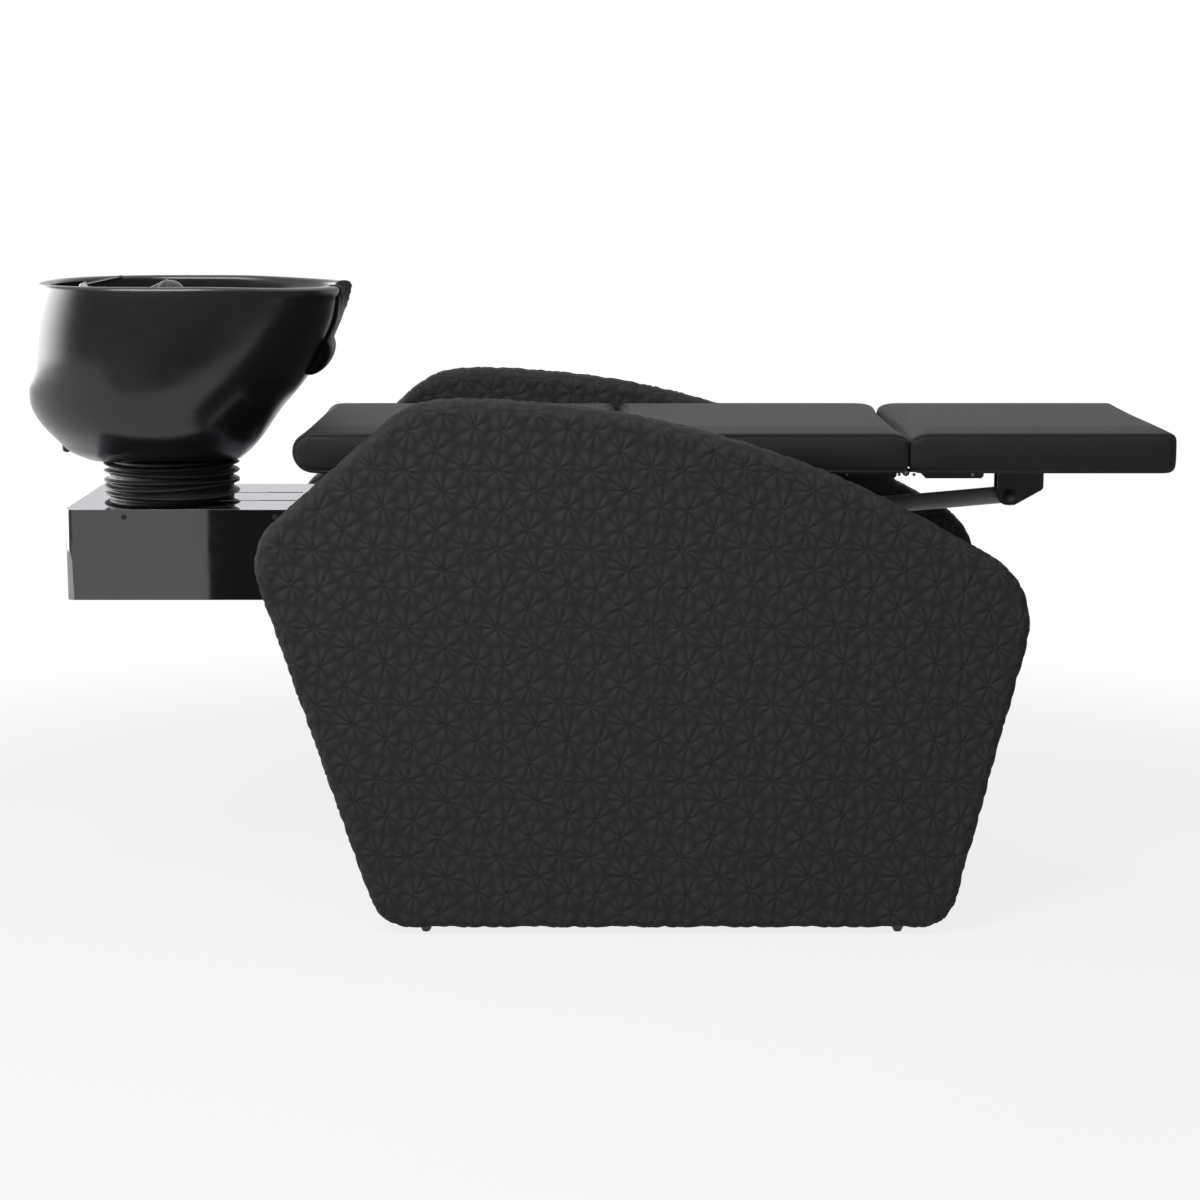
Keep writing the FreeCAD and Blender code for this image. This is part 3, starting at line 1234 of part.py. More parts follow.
def mixer_lever():
    pivot = lever_pivot()
    heading = point(LEVER_REACH, 0, LEVER_RISE)
    rod = Part.makeCylinder(LEVER_ROD_RADIUS, heading.Length, pivot, heading)
    tip = Part.makeSphere(LEVER_ROD_RADIUS, pivot + heading)
    half = LEVER_ROD_RADIUS
    root = rod_y(MIXER_Y - half, MIXER_Y + half, (pivot.x, pivot.z), LEVER_ROOT_RADIUS)
    return joined([rod, tip, root])


def shower_axis():
    lean = math.radians(SHOWER_LEAN_DEG)
    return point(math.cos(lean), 0, math.sin(lean))


def shower_seat():
    return point(shower_x(), SHOWER_Y, DECK_Z + HOLDER_HEIGHT)


def shower_holder():
    """Collar in the deck with a leaning cradle for the hand shower."""
    flange = rod_z(DECK_Z, DECK_Z + HOLDER_FLANGE, shower_x(), SHOWER_Y, HOLDER_RADIUS)
    post = rod_z(DECK_Z - HOLDER_HEIGHT, DECK_Z + HOLDER_HEIGHT, shower_x(), SHOWER_Y,
                 HOLDER_RADIUS - HOLDER_FLANGE - FIT)
    start = shower_seat() - shower_axis() * SHOWER_SEAT
    bore = Part.makeCylinder(SHOWER_HANDLE_RADIUS + FIT, SHOWER_HANDLE_LENGTH, start, shower_axis())
    return joined([flange, post]).cut(bore)


def shower_head_start():
    return shower_seat() + shower_axis() * (SHOWER_HANDLE_LENGTH - SHOWER_SEAT)


def hand_shower():
    start = shower_seat() - shower_axis() * (SHOWER_SEAT - FIT)
    handle = Part.makeCone(SHOWER_HANDLE_RADIUS - SHOWER_FACE_DEPTH, SHOWER_HANDLE_RADIUS,
                           SHOWER_HANDLE_LENGTH, start, shower_axis())
    head = Part.makeSphere(SHOWER_HEAD_RADIUS, shower_head_start())
    below = shower_head_start() - point(SHOWER_HEAD_RADIUS, SHOWER_HEAD_RADIUS, SHOWER_HEAD_RADIUS)
    cut_box = Part.makeBox(2 * SHOWER_HEAD_RADIUS, 2 * SHOWER_HEAD_RADIUS, SHOWER_HEAD_RADIUS, below)
    return joined([handle, head.cut(cut_box)]).cut(shower_face())


def shower_face():
    low = shower_head_start() - point(0, 0, SHOWER_FACE_DEPTH)
    return Part.makeCylinder(SHOWER_HEAD_RADIUS - SHOWER_FACE_DEPTH / 2, SHOWER_FACE_DEPTH, low)


def drain_fitting():
    flange = rod_z(FLOOR_Z, FLOOR_Z + DRAIN_FLANGE_HEIGHT, BOWL_AXIS_X, 0, DRAIN_FLANGE_RADIUS)
    tail = rod_z(BOWL_BOTTOM_Z - TAIL_LENGTH, FLOOR_Z, BOWL_AXIS_X, 0, DRAIN_HOLE_RADIUS - FIT)
    bore = DRAIN_HOLE_RADIUS - FIT - DRAIN_WALL
    hollow = rod_z(BOWL_BOTTOM_Z - TAIL_LENGTH, FLOOR_Z + DRAIN_FLANGE_HEIGHT, BOWL_AXIS_X, 0, bore)
    return joined([flange, tail]).cut(hollow)


def strainer():
    top = FLOOR_Z + DRAIN_FLANGE_HEIGHT
    rim = rod_z(top, top + STRAINER_RIM, BOWL_AXIS_X, 0, DRAIN_HOLE_RADIUS)
    cup = rod_z(top - STRAINER_DEPTH, top, BOWL_AXIS_X, 0, STRAINER_RADIUS)
    hollow = rod_z(top - STRAINER_DEPTH + STRAINER_RIM, top + STRAINER_RIM, BOWL_AXIS_X, 0,
                   STRAINER_RADIUS - STRAINER_RIM)
    body = joined([rim, cup]).cut(hollow)
    reach = STRAINER_RADIUS * STRAINER_HOLE_SHARE
    for i in range(STRAINER_HOLES):
        turn = 2 * math.pi * i / STRAINER_HOLES
        x = BOWL_AXIS_X + reach * math.cos(turn)
        hole = rod_z(top - STRAINER_DEPTH, top - STRAINER_DEPTH + STRAINER_RIM, x, reach * math.sin(turn),
                     STRAINER_HOLE_RADIUS)
        body = body.cut(hole)
    return body


def bend_path(start_x, end_x, y, z, end_z, bend):
    """Level run along X, a quarter bend and a drop."""
    corner = point(end_x - bend, y, z)
    low = point(end_x, y, z - bend)
    middle = point(end_x - bend + bend * math.sin(math.pi / 4), y, z - bend + bend * math.cos(math.pi / 4))
    return [
        Part.makeLine(point(start_x, y, z), corner),
        Part.Arc(corner, middle, low).toShape(),
        Part.makeLine(low, point(end_x, y, end_z)),
    ]


def waste_pipe():
    drop_x = pipe_drop_x()
    edges = bend_path(BOWL_AXIS_X + HOSE_JOINT_REACH, drop_x, PIPE_Y, PIPE_Z, PIPE_FLOOR_GAP, PIPE_BEND)
    return joined([swept_tube(edges, PIPE_RADIUS, PIPE_WALL), pipe_nut(PIPE_Y, PIPE_RADIUS, WASTE_SPIGOT)])


def waste_hose():
    """Soft hose from the drain tail round to the fixed waste pipe."""
    start = point(BOWL_AXIS_X, 0, BOWL_BOTTOM_Z - TAIL_LENGTH - FIT)
    end = point(BOWL_AXIS_X + HOSE_JOINT_REACH - FIT, PIPE_Y, PIPE_Z)
    drop = start.z - end.z
    curve = Part.BezierCurve()
    curve.setPoles([start, start - point(0, 0, drop), end - point(drop, 0, 0), end])
    path = Part.Wire(curve.toShape())

    def swept(size):
        ring = Part.Wire(Part.Circle(start, point(0, 0, -1), size).toShape())
        return path.makePipeShell([ring], True, True)

    return swept(HOSE_RADIUS).cut(swept(HOSE_RADIUS - PIPE_WALL))


def pipe_drop_x():
    return POST_FRONT_X + PIPE_DROP_REACH


def pipe_nut(y, radius, spigot):
    """Collar round a pipe above the plain end that its floor fitting slides over."""
    low = PIPE_FLOOR_GAP + spigot
    outer = rod_z(low, low + NUT_HEIGHT, pipe_drop_x(), y, radius + NUT_WALL)
    return outer.cut(rod_z(low, low + NUT_HEIGHT, pipe_drop_x(), y, radius))


def pipe_clamp():
    """Block on the face of one post that grips the waste and supply pipes."""
    body = block(POST_FRONT_X, POST_FRONT_X + CLAMP_LENGTH, -POST_MID_Y - POST_WIDTH / 2,
                 PIPE_Y + PIPE_RADIUS + CLAMP_MARGIN, CLAMP_Z, CLAMP_Z + CLAMP_HEIGHT)
    body = body.cut(rod_z(CLAMP_Z, CLAMP_Z + CLAMP_HEIGHT, pipe_drop_x(), PIPE_Y, PIPE_RADIUS))
    for y in SUPPLY_YS:
        body = body.cut(rod_z(CLAMP_Z, CLAMP_Z + CLAMP_HEIGHT, pipe_drop_x(), y, SUPPLY_RADIUS))
    return body


def supply_pipe(y):
    drop_x = pipe_drop_x()
    edges = bend_path(BOWL_AXIS_X + HOSE_JOINT_REACH, drop_x, y, PIPE_Z, PIPE_FLOOR_GAP, SUPPLY_BEND)
    return joined([swept_tube(edges, SUPPLY_RADIUS, SUPPLY_WALL), pipe_nut(y, SUPPLY_RADIUS, SUPPLY_SPIGOT)])


def build():
    os.makedirs("parts", exist_ok=True)
    cover = panel_cover()
    save("left_panel_cover", [cover])
    save("right_panel_cover", [mirrored(cover)])
    save("panel_boards", pair(panel_board()))
    save("levelling_feet", levelling_feet())
    save("floor_frame", floor_frame())
    save("pivot_plates", pair(pivot_plate()))
    save("lift_shafts", [lift_shaft(FRONT_LOW), lift_shaft(REAR_LOW)] + shaft_spacers())
    save("kick_boards", [front_kick_board(), rear_kick_board()])
    save("rear_support", pair(rear_post()) + pair(box_beam()) + [post_crossbar()])
    save("support_clamps", [drive_saddle(), pipe_clamp()])
    save("drive_housing", [drive_housing()])
    save("control_box", [control_box()])
    save("service_box", [service_box()])
    save("box_lid", [box_lid()])
    save("lid_screws", lid_screws())
    save("waste_pipe", [waste_pipe()])
    save("supply_pipes", [supply_pipe(y) for y in SUPPLY_YS])
    save("front_arms", pair(front_arm()))
    save("front_tubes", [hub(FRONT_LOW, FRONT_ARM_IN_Y), front_cross_tube()])
    save("front_pins", front_pins() + [crank_pin()])
    save("crank_plates", pair(crank_plate()))
    save("rear_arms", pair(rear_arm()))
    save("rear_hub", [hub(REAR_LOW, REAR_ARM_IN_Y)])
    save("rear_pins", rear_pins())
    save("drive_levers", drive_levers())
    save("drive_rod", [drive_rod(), drive_pin()])
    save("seat_pad", [seat_pad()])
    save("seat_board", [pad_board(*seat_span())])
    save("seat_frame", pair(seat_rail()) + seat_cross_tubes())
    save("seat_hinge_ears", pair(hinge_ear(1, seat_ear_y())))
    save("back_pivot_bolts", pair(back_pivot_bolt()))
    save("seat_strap_hinges", pair(strap_hinge(-1)))
    save("strap_hinge_pins", pair(hinge_pin()))
    save("back_pad", [back_pad()])
    save("back_board", [pad_board(*back_span())])
    save("back_hinge_ears", pair(hinge_ear(-1, back_ear_y())))
    save("back_lugs", pair(back_lug()) + pair(back_link_pin()))
    save("back_links", pair(back_link()))
    save("leg_pad", [leg_pad()])
    save("leg_board", [pad_board(*leg_span())])
    save("leg_strap_hinges", pair(strap_hinge(1)))
    save("leg_bracket", [leg_bracket(), leg_pin()])
    save("leg_link", [leg_link()])
    save("carriage_plate", [carriage_plate()])
    save("carriage_clamp", [carriage_clamp()] + carriage_runners())
    save("tilt_pins", tilt_pins())
    save("bellows", [bellows()])
    save("tilt_bracket", [tilt_bracket()])
    save("bowl", [bowl()])
    save("neck_rest", [neck_rest()])
    save("bowl_grommet", [grommet()])
    save("drain_fitting", [drain_fitting()])
    save("strainer", [strainer()])
    save("waste_hose", [waste_hose()])
    save("mixer_base", [mixer_base()])
    save("mixer_cap", [mixer_cap()])
    save("mixer_lever", [mixer_lever()])
    save("shower_holder", [shower_holder()])
    save("hand_shower", [hand_shower()])
    save("shower_face", [shower_face()])


build()
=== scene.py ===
import json
import math

import bmesh
import bpy
import numpy as np
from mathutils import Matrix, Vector, geometry, kdtree


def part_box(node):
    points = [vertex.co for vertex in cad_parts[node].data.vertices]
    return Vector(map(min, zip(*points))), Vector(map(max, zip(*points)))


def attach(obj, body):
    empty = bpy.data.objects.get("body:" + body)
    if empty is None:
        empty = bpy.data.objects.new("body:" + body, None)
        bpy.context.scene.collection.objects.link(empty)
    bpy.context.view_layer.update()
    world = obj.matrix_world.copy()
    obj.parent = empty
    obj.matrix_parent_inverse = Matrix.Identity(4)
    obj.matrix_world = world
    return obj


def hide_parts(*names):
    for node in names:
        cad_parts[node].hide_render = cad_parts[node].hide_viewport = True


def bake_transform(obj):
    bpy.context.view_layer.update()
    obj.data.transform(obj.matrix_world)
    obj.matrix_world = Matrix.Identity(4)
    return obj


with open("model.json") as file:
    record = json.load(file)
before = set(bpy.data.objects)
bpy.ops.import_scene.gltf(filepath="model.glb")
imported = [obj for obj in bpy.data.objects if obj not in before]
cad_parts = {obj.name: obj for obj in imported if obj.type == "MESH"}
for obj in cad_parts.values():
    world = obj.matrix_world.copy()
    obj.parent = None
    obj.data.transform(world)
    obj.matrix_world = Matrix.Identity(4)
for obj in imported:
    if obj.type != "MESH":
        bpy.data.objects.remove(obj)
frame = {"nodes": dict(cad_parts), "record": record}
nodes = frame["nodes"]
record = frame["record"]
scene = bpy.context.scene
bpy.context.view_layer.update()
UP = (0, 0, 1)

# Sizes in metres, and shares, counts and turns, that the frame's boxes don't give
WELD = 0.00002
LOOP_STEP = 0.004
BOARD_SHOW = 0.003

# Side panels
PANEL_ROUND = 0.020
PANEL_STEP = 0.0038
PANEL_SECTION_BACK = 0.026
BOARD_SECTION_BACK = 0.006
RIM_ROWS = 41
RELIEF = 0.0030
RIM_RELIEF_SHARE = 0.9
SEAM_HALF = 0.0014
SEAM_DEPTH = 0.0016

# Pads: the seams' places and the bands are measured from the pad's edges
PAD_SECTION_BACK = 0.012
PAD_SOFT = 2
PAD_ROLL = 0.004
PAD_ROLL_TURNS = (15, 35, 55, 75, 90)
PAD_LINE = 0.001
PAD_ROW = 0.016
PAD_STEP = 0.007
PAD_FACE = 0.0001
PAD_RISE = 0.0003
PAD_RISE_BACK = 0.0130
PAD_CROWN = 0.0012
PAD_BULGE = 0.0016
PAD_BULGE_RUN = 0.022
PAD_FLAT_BAND = 0.0015
PAD_PINNED_BAND = 0.004
PAD_PRESSURE = 4
PAD_SWELL = 0.0045
SETTLE_FRAMES = 20
SIDE_SEAM = 0.0048
SIDE_SEAM_HALF = 0.0006
TOP_SEAM = 0.0064
TOP_SEAM_HALF = 0.0012
SEWN_LIFT = 0.010
UPWARD = 0.7
JOINT_TIGHTNESS = 0.7
JOINT_LEANS = (0.5, 0.95)

# Stitches: shares are the place along the stitch and the thickness there
STITCH_LENGTH = 0.0031
STITCH_PITCH = 0.0046
STITCH_RADIUS = 0.00055
STITCH_SINK = 0.0004
STITCH_SIDES = 6
STITCH_FLATNESS = 0.7
STITCH_SHARES = ((-0.5, 0.15), (-0.36, 0.85), (0.0, 1.15), (0.36, 0.85), (0.5, 0.15))

# Embossing: own lattice of stars, each with a place in the tile, a number of rays and a turn
TILE_LENGTH = 0.145
TILE_HEIGHT = 0.124
STAR_SHARES = (
    (0.03, 0.06, 9, 0.15), (0.37, 0.31, 8, 0.60), (0.70, 0.10, 10, 0.35),
    (0.10, 0.55, 7, 0.80), (0.45, 0.80, 9, 0.25), (0.80, 0.61, 8, 0.50),
)
STAR_HEART = 0.0035
STAR_END = 0.0420
PETAL_LEAN = 0.85
PETAL_FILL = 0.55
PETAL_ROUND = 0.62
RIDGE_POINTS = 0.0030
RIDGE_ROOM = 0.0017
RAY_SWAY = 0.32
RAY_TURNS = 720

# Bowl rings: height, rear, front and side shares, then squareness at the rear and at the front
BOWL_RING_SHARES = (
    (0.000, 0.600, 0.417, 0.380, 2.1, 2.0),
    (0.040, 0.705, 0.470, 0.540, 2.1, 2.05),
    (0.110, 0.795, 0.540, 0.700, 2.1, 2.1),
    (0.190, 0.888, 0.600, 0.825, 2.12, 2.1),
    (0.290, 0.962, 0.675, 0.910, 2.2, 2.15),
    (0.400, 0.994, 0.777, 0.960, 2.28, 2.2),
    (0.560, 0.998, 0.899, 0.995, 2.38, 2.3),
    (0.760, 0.972, 1.004, 1.000, 2.45, 2.5),
    (1.000, 0.885, 1.102, 0.990, 2.5, 2.7),
)
BASIN_RING_SHARES = (
    (0.125, 0.280, 0.230, 0.280, 2.0, 2.0),
    (0.180, 0.400, 0.400, 0.520, 2.1, 2.1),
    (0.320, 0.440, 0.590, 0.780, 2.2, 2.2),
    (0.560, 0.460, 0.740, 0.865, 2.35, 2.3),
    (0.800, 0.470, 0.820, 0.875, 2.42, 2.35),
)
RECESS_RING_SHARES = (
    (0.780, 0.857, 0.920, 0.905, 2.45, 2.4),
    (1.060, 0.784, 1.045, 0.905, 2.5, 2.7),
)
BOWL_SIDE_HALF = 0.240
BOWL_COLUMNS = 224
DRAIN_RADIUS = 0.022
DRAIN_EDGE = 0.002
FLOOR_STEPS = (0.0, 0.35, 0.7)
FLOOR_FALL = 0.001
BASIN_ROWS = 26
BASIN_FOOT_SHARE = 0.012
DECK_SHARE = 0.780
DECK_EDGE_SHARE = 0.016
DECK_STEPS = (0.0, 0.06, 0.2, 0.5, 0.8, 0.94, 1.0)
DECK_SOFT = 0.004
RECESS_STEPS = np.linspace(0.15, 1, 6)
OUTSIDE_STEPS = np.linspace(1, 0, 44)[1:] ** 1.25
FOOT_EDGE = 0.006
LIP_LEANS = np.radians(np.linspace(168, 12, 13))
RIM_ROUND = 0.0095
RIM_SQUARE = 0.72
RIM_SINK = 0.005
RIM_SINK_FROM = 0.34
NECK_SHARE = 0.95
NECK_RADIUS = 0.100
NECK_DIP = 0.038
NECK_SOFT = 0.006

# Neck rest: a thin apron over the lip, with a fat bead along its lower edge
REST_HALF_WIDTH = 0.082
REST_INSIDE = 0.030
REST_TAPER = 0.34
REST_TAPER_RUN = 0.060
REST_DROP = 0.153
REST_THICKNESS = 0.0048
REST_TOP_THICKNESS = 0.0035
REST_COLUMNS = 60
REST_ROWS = 84
REST_INSIDE_ROWS = 12
REST_OUTSIDE_ROWS = 60
REST_MERGE = 4
REST_END_SQUARE = 8
BEAD_DROP = 0.123
BEAD_HALF_HEIGHT = 0.030
BEAD_DEPTH = 0.018

# Bellows boot: fold heights on the open side and on the crowded side
BOOT_WIDE_SHARES = (0.12, 0.31, 0.50, 0.69, 0.88)
BOOT_TIGHT_SHARES = (0.15, 0.38, 0.47, 0.69, 0.89)
BOOT_DEPTH = 0.0100
BOOT_ROUND = 1.8
BOOT_WALL = 0.003
BOOT_ROWS = 73
BOOT_COLUMNS = 120
BOOT_CROWDED_TURN = 0.5
BOOT_WAVE = 0.026
BOOT_WAVE_LAG = 2.1
BOOT_SLANT = 0.6 * BOOT_WAVE
BOOT_SLANT_LAG = 1.3

# Small fittings: plug under the bowl, mixer dome, drain hose and hand shower
PLUG_TURNS = (25, 45, 65, 90)
PLUG_ROUND_SHARE = 0.8
PLUG_TIP_SHARE = 0.1
PLUG_CHAMFER_SHARE = 0.2
DOME_SHARES = (
    (0.16, 0.98), (0.34, 0.86), (0.50, 0.66), (0.64, 0.47),
    (0.78, 0.35), (0.90, 0.25), (0.97, 0.15), (1.0, 0.02),
)
HOSE_RADIUS = 0.0205
HOSE_ROWS = 120
HOSE_SIDES = 28
RIB_DEPTH = 0.0012
RIB_TURN = 1.05
HANDLE_TAIL = 0.008
HANDLE_RADIUS = 0.0085
HANDLE_SWELL = 0.0035
HANDLE_SWELL_RATE = 1.15
HANDLE_NECK_SHARE = 0.8
HANDLE_ARCH = 0.010
HANDLE_FLATNESS = 0.88
HANDLE_ROWS = 40
HEAD_RISE = 0.021
HEAD_TIP = 0.0005
HEAD_RIM = 0.0025
HEAD_LEANS = np.radians(np.linspace(80, 0, 12))
HEAD_EDGE = ((0.0, -0.002), (0.001, -0.0035), (0.0024, -0.0038))

# Hinges: profiles list a radius and a height; the ears end below the pads' top
EAR_DROP = 0.006
EAR_BEVEL = 0.0006
SCREW_PROFILE = ((0.0026, 0.0), (0.0026, 0.0005), (0.0022, 0.0010), (0.0012, 0.0013), (0.0010, 0.0008))
SCREW_SHARES = (0.14, 0.86)
SCREW_LIFT = 0.0062
NUT_PROFILE = (
    (0.0098, 0.0), (0.0098, 0.0035), (0.0085, 0.0048), (0.0052, 0.0048), (0.0048, 0.0066), (0.002, 0.0072),
)
NUT_SINK = 0.001
PIVOT_INSET = 0.017


def linked(name, data):
    piece = bpy.data.objects.new(name, data)
    scene.collection.objects.link(piece)
    return piece


def mesh_piece(name, points, faces):
    mesh = bpy.data.meshes.new(name)
    mesh.from_pydata([tuple(p) for p in points], [], [tuple(f) for f in faces])
    mesh.shade_smooth()
    mesh.update()
    return linked(name, mesh)


def settled(piece):
    """Welds a piece's seams between patches and turns all its faces outward."""
    work = bmesh.new()
    work.from_mesh(piece.data)
    bmesh.ops.remove_doubles(work, verts=work.verts, dist=WELD)
    bmesh.ops.recalc_face_normals(work, faces=work.faces)
    work.to_mesh(piece.data)
    work.free()
    piece.data.shade_smooth()
    piece.data.update()
    return piece


def full_turn(count):
    return np.linspace(0, 2 * math.pi, count, endpoint=False)


def ring(spot, across, lift, sides):
    """Points round a spot, on the ellipse of two half axes."""
    return [spot + across * math.cos(turn) + lift * math.sin(turn) for turn in full_turn(sides)]


def strip_faces(rows, count, closed=True):
    """Quads between neighbouring rows, each with the same count of points."""
    span = count if closed else count - 1
    faces = []
    for r in range(rows - 1):
        for c in range(span):
            a = r * count + c
            b = r * count + (c + 1) % count
            faces.append((a, b, b + count, a + count))
    return faces


def capped_faces(rows, count):
    """Quads of a tube of rings, and a face on either end."""
    first = tuple(range(count))
    return strip_faces(rows, count) + [first, tuple((rows - 1) * count + i for i in first)]


def smooth_step(value, low, high):
    share = np.clip((value - low) / (high - low), 0, 1)
    return share * share * (3 - 2 * share)


def reach_along(line):
    """Length of a line from its start up to each of its points."""
    return np.concatenate([[0], np.cumsum(np.hypot(*np.diff(line, axis=0).T))])


def at_marks(line, reach, marks):
    """Points of a line at given lengths along it."""
    return np.column_stack([np.interp(marks, reach, line[:, i]) for i in (0, 1)])


def evenly(loop, spacing):
    """The same closed loop with its points a constant run apart."""
    closed = np.vstack([loop, loop[:1]])
    reach = reach_along(closed)
    count = int(round(reach[-1] / spacing))
    return at_marks(closed, reach, np.linspace(0, reach[-1], count, endpoint=False))


def signed_area(loop):
    following = np.roll(loop, -1, axis=0)
    return 0.5 * np.sum(loop[:, 0] * following[:, 1] - following[:, 0] * loop[:, 1])


def cut_node(node, spot, normal, **sides):
    """A CAD node's welded mesh, cut by a plane, and the edges along the cut."""
    work = bmesh.new()
    work.from_mesh(nodes[node].data)
    bmesh.ops.remove_doubles(work, verts=work.verts, dist=WELD)
    everything = work.verts[:] + work.edges[:] + work.faces[:]
    cut = bmesh.ops.bisect_plane(work, geom=everything, plane_co=spot, plane_no=normal, **sides)
    return work, [part for part in cut["geom_cut"] if isinstance(part, bmesh.types.BMEdge)]


def section_loop(node, y, spacing):
    """Largest closed outline, as (x, z), of a CAD node's section at a place across it, anticlockwise."""
    work, cut_edges = cut_node(node, (0, y, 0), (0, 1, 0))
    work.verts.index_update()
    neighbours = {}
    spots = {}
    for edge in cut_edges:
        for corner in edge.verts:
            neighbours.setdefault(corner.index, []).append(edge.other_vert(corner).index)
            spots[corner.index] = (corner.co.x, corner.co.z)
    work.free()
    loops = []
    left = dict.fromkeys(sorted(neighbours))
    while left:
        chain = [next(iter(left))]
        del left[chain[0]]
        ahead = [n for n in neighbours[chain[-1]] if n in left]
        while ahead:
            chain.append(ahead[0])
            del left[ahead[0]]
            ahead = [n for n in neighbours[chain[-1]] if n in left]
        loops.append(np.array([spots[i] for i in chain]))
    loop = max(loops, key=lambda points: abs(signed_area(points)))
    if signed_area(loop) < 0:
        loop = loop[::-1]
    return evenly(loop, spacing)


def softened_loop(loop, spread):
    """The same loop with its corners eased over a given number of points."""
    reach = np.arange(-3 * spread, 3 * spread + 1)
    weights = np.exp(-0.5 * (reach / spread) ** 2)
    weights /= weights.sum()
    return sum(w * np.roll(loop, -r, axis=0) for w, r in zip(weights, reach))


def loop_headings(loop):
    return np.roll(loop, -1, axis=0) - np.roll(loop, 1, axis=0)


def outward(loop):
    """Unit normals of an anticlockwise loop."""
    along = loop_headings(loop)
    normals = np.column_stack([along[:, 1], -along[:, 0]])
    return normals / np.hypot(*normals.T)[:, None]


def inside_of(points, loop):
    """True for each point that lies inside a closed loop."""
    found = np.zeros(len(points), bool)
    for a, b in zip(loop, np.roll(loop, -1, axis=0)):
        if a[1] == b[1]:
            continue
        crosses = (points[:, 1] < a[1]) != (points[:, 1] < b[1])
        place = a[0] + (points[:, 1] - a[1]) * (b[0] - a[0]) / (b[1] - a[1])
        found ^= crosses & (points[:, 0] < place)
    return found


def distance_to(points, loop):
    tree = kdtree.KDTree(len(loop))
    for i, spot in enumerate(loop):
        tree.insert((spot[0], spot[1], 0), i)
    tree.balance()
    return np.array([tree.find((p[0], p[1], 0))[2] for p in points])


def thinned(spots, room):
    """The spots that lie at least a given room from all those kept before them."""
    taken = {}
    kept = []
    for spot in spots:
        i = math.floor(spot[0] / room)
        j = math.floor(spot[1] / room)
        near = [taken[c] for c in ((i + a, j + b) for a in (-1, 0, 1) for b in (-1, 0, 1)) if c in taken]
        if all(math.hypot(spot[0] - p[0], spot[1] - p[1]) >= room for p in near):
            taken[(i, j)] = spot
            kept.append(spot)
    return np.array(kept)


def filled(loop, step, lines=None):
    """Points and triangles that fill a closed loop: spots on lines first, then a staggered grid."""
    low = loop.min(axis=0)
    high = loop.max(axis=0)
    rise = step * math.sqrt(3) / 2
    rows = []
    for k, v in enumerate(np.arange(low[1], high[1], rise)):
        us = np.arange(low[0] + step / 2 * (k % 2), high[0], step)
        rows.append(np.column_stack([us, np.full(len(us), v)]))
    grid = np.vstack(rows)
    if lines is not None:
        grid = thinned(np.vstack([lines, grid]), RIDGE_ROOM)
    grid = grid[inside_of(grid, loop)]
    grid = grid[distance_to(grid, loop) > step / 2]
    points = [Vector(p) for p in np.vstack([loop, grid])]
    rim = [(i, (i + 1) % len(loop)) for i in range(len(loop))]
    made = geometry.delaunay_2d_cdt(points, rim, [], 1, WELD / 4)
    return np.array([tuple(p) for p in made[0]]), made[2]


def upright(flat, y):
    """(x, z) points stood up, each at its own place across the object."""
    return np.column_stack([flat[:, 0], y, flat[:, 1]])


def wrapped(middle, radius, turns, z):
    """Points about an upright axis that stands at a place along x."""
    return np.column_stack([middle + radius * np.cos(turns), radius * np.sin(turns), z])


class Skin:
    """Collects patches of points and faces that are welded into one piece, with a mark on each point."""

    def __init__(self):
        self.points = []
        self.faces = []
        self.marks = []

    def add(self, points, faces, marks=None):
        start = len(self.points)
        self.points += [tuple(p) for p in points]
        self.marks += list(np.zeros(len(points)) if marks is None else marks)
        self.faces += [[start + i for i in face] for face in faces]

    def add_rows(self, rows, marks=None, closed=True):
        faces = strip_faces(len(rows), len(rows[0]), closed)
        self.add(np.vstack(rows), faces, None if marks is None else np.concatenate(marks))

    def piece(self, name, mark_name="mark"):
        piece = mesh_piece(name, self.points, self.faces)
        layer = piece.data.attributes.new(mark_name, "FLOAT", "POINT")
        layer.data.foreach_set("value", np.array(self.marks, np.float32))
        return settled(piece)


def ringed(name, rows):
    """Piece through rows of points, each row closed on itself."""
    skin = Skin()
    skin.add_rows(rows)
    return skin.piece(name)


def turned(name, profile, centre, axis, segments):
    """Piece turned about an axis; the profile lists (radius, height along the axis) from end to end."""
    heading = Vector(axis).normalized()
    side = heading.orthogonal().normalized()
    other = heading.cross(side)
    points = []
    for radius, height in profile:
        points += ring(Vector(centre) + heading * height, side * radius, other * radius, segments)
    return settled(mesh_piece(name, points, capped_faces(len(profile), segments)))


def path_heading(path, k):
    return (path[min(k + 1, len(path) - 1)] - path[max(k - 1, 0)]).normalized()


def swept(name, path, radii, sides, flatten):
    """Oval-sectioned piece along a path with its own radius at each point, closed at both ends."""
    points = []
    across = Vector((0, 1, 0))
    for k, spot in enumerate(path):
        lift = path_heading(path, k).cross(across).normalized()
        points += ring(spot, across * radii[k], lift * (flatten * radii[k]), sides)
    return settled(mesh_piece(name, points, capped_faces(len(path), sides)))


# Materials: procedural detail, each at its own scale, in colour, roughness or surface
def new_node(tree, kind, inputs, **settings):
    """Shader node with its settings; each input is a value to set or an output to link from."""
    made = tree.nodes.new("ShaderNode" + kind)
    for name, value in settings.items():
        setattr(made, name, value)
    for key, value in inputs.items():
        if isinstance(value, bpy.types.NodeSocket):
            tree.links.new(value, made.inputs[key])
        else:
            made.inputs[key].default_value = value
    return made


def new_material(name):
    material = bpy.data.materials.new(name)
    material.use_nodes = True
    return material, material.node_tree


NOISE_SPREAD = (0.3, 0.7)


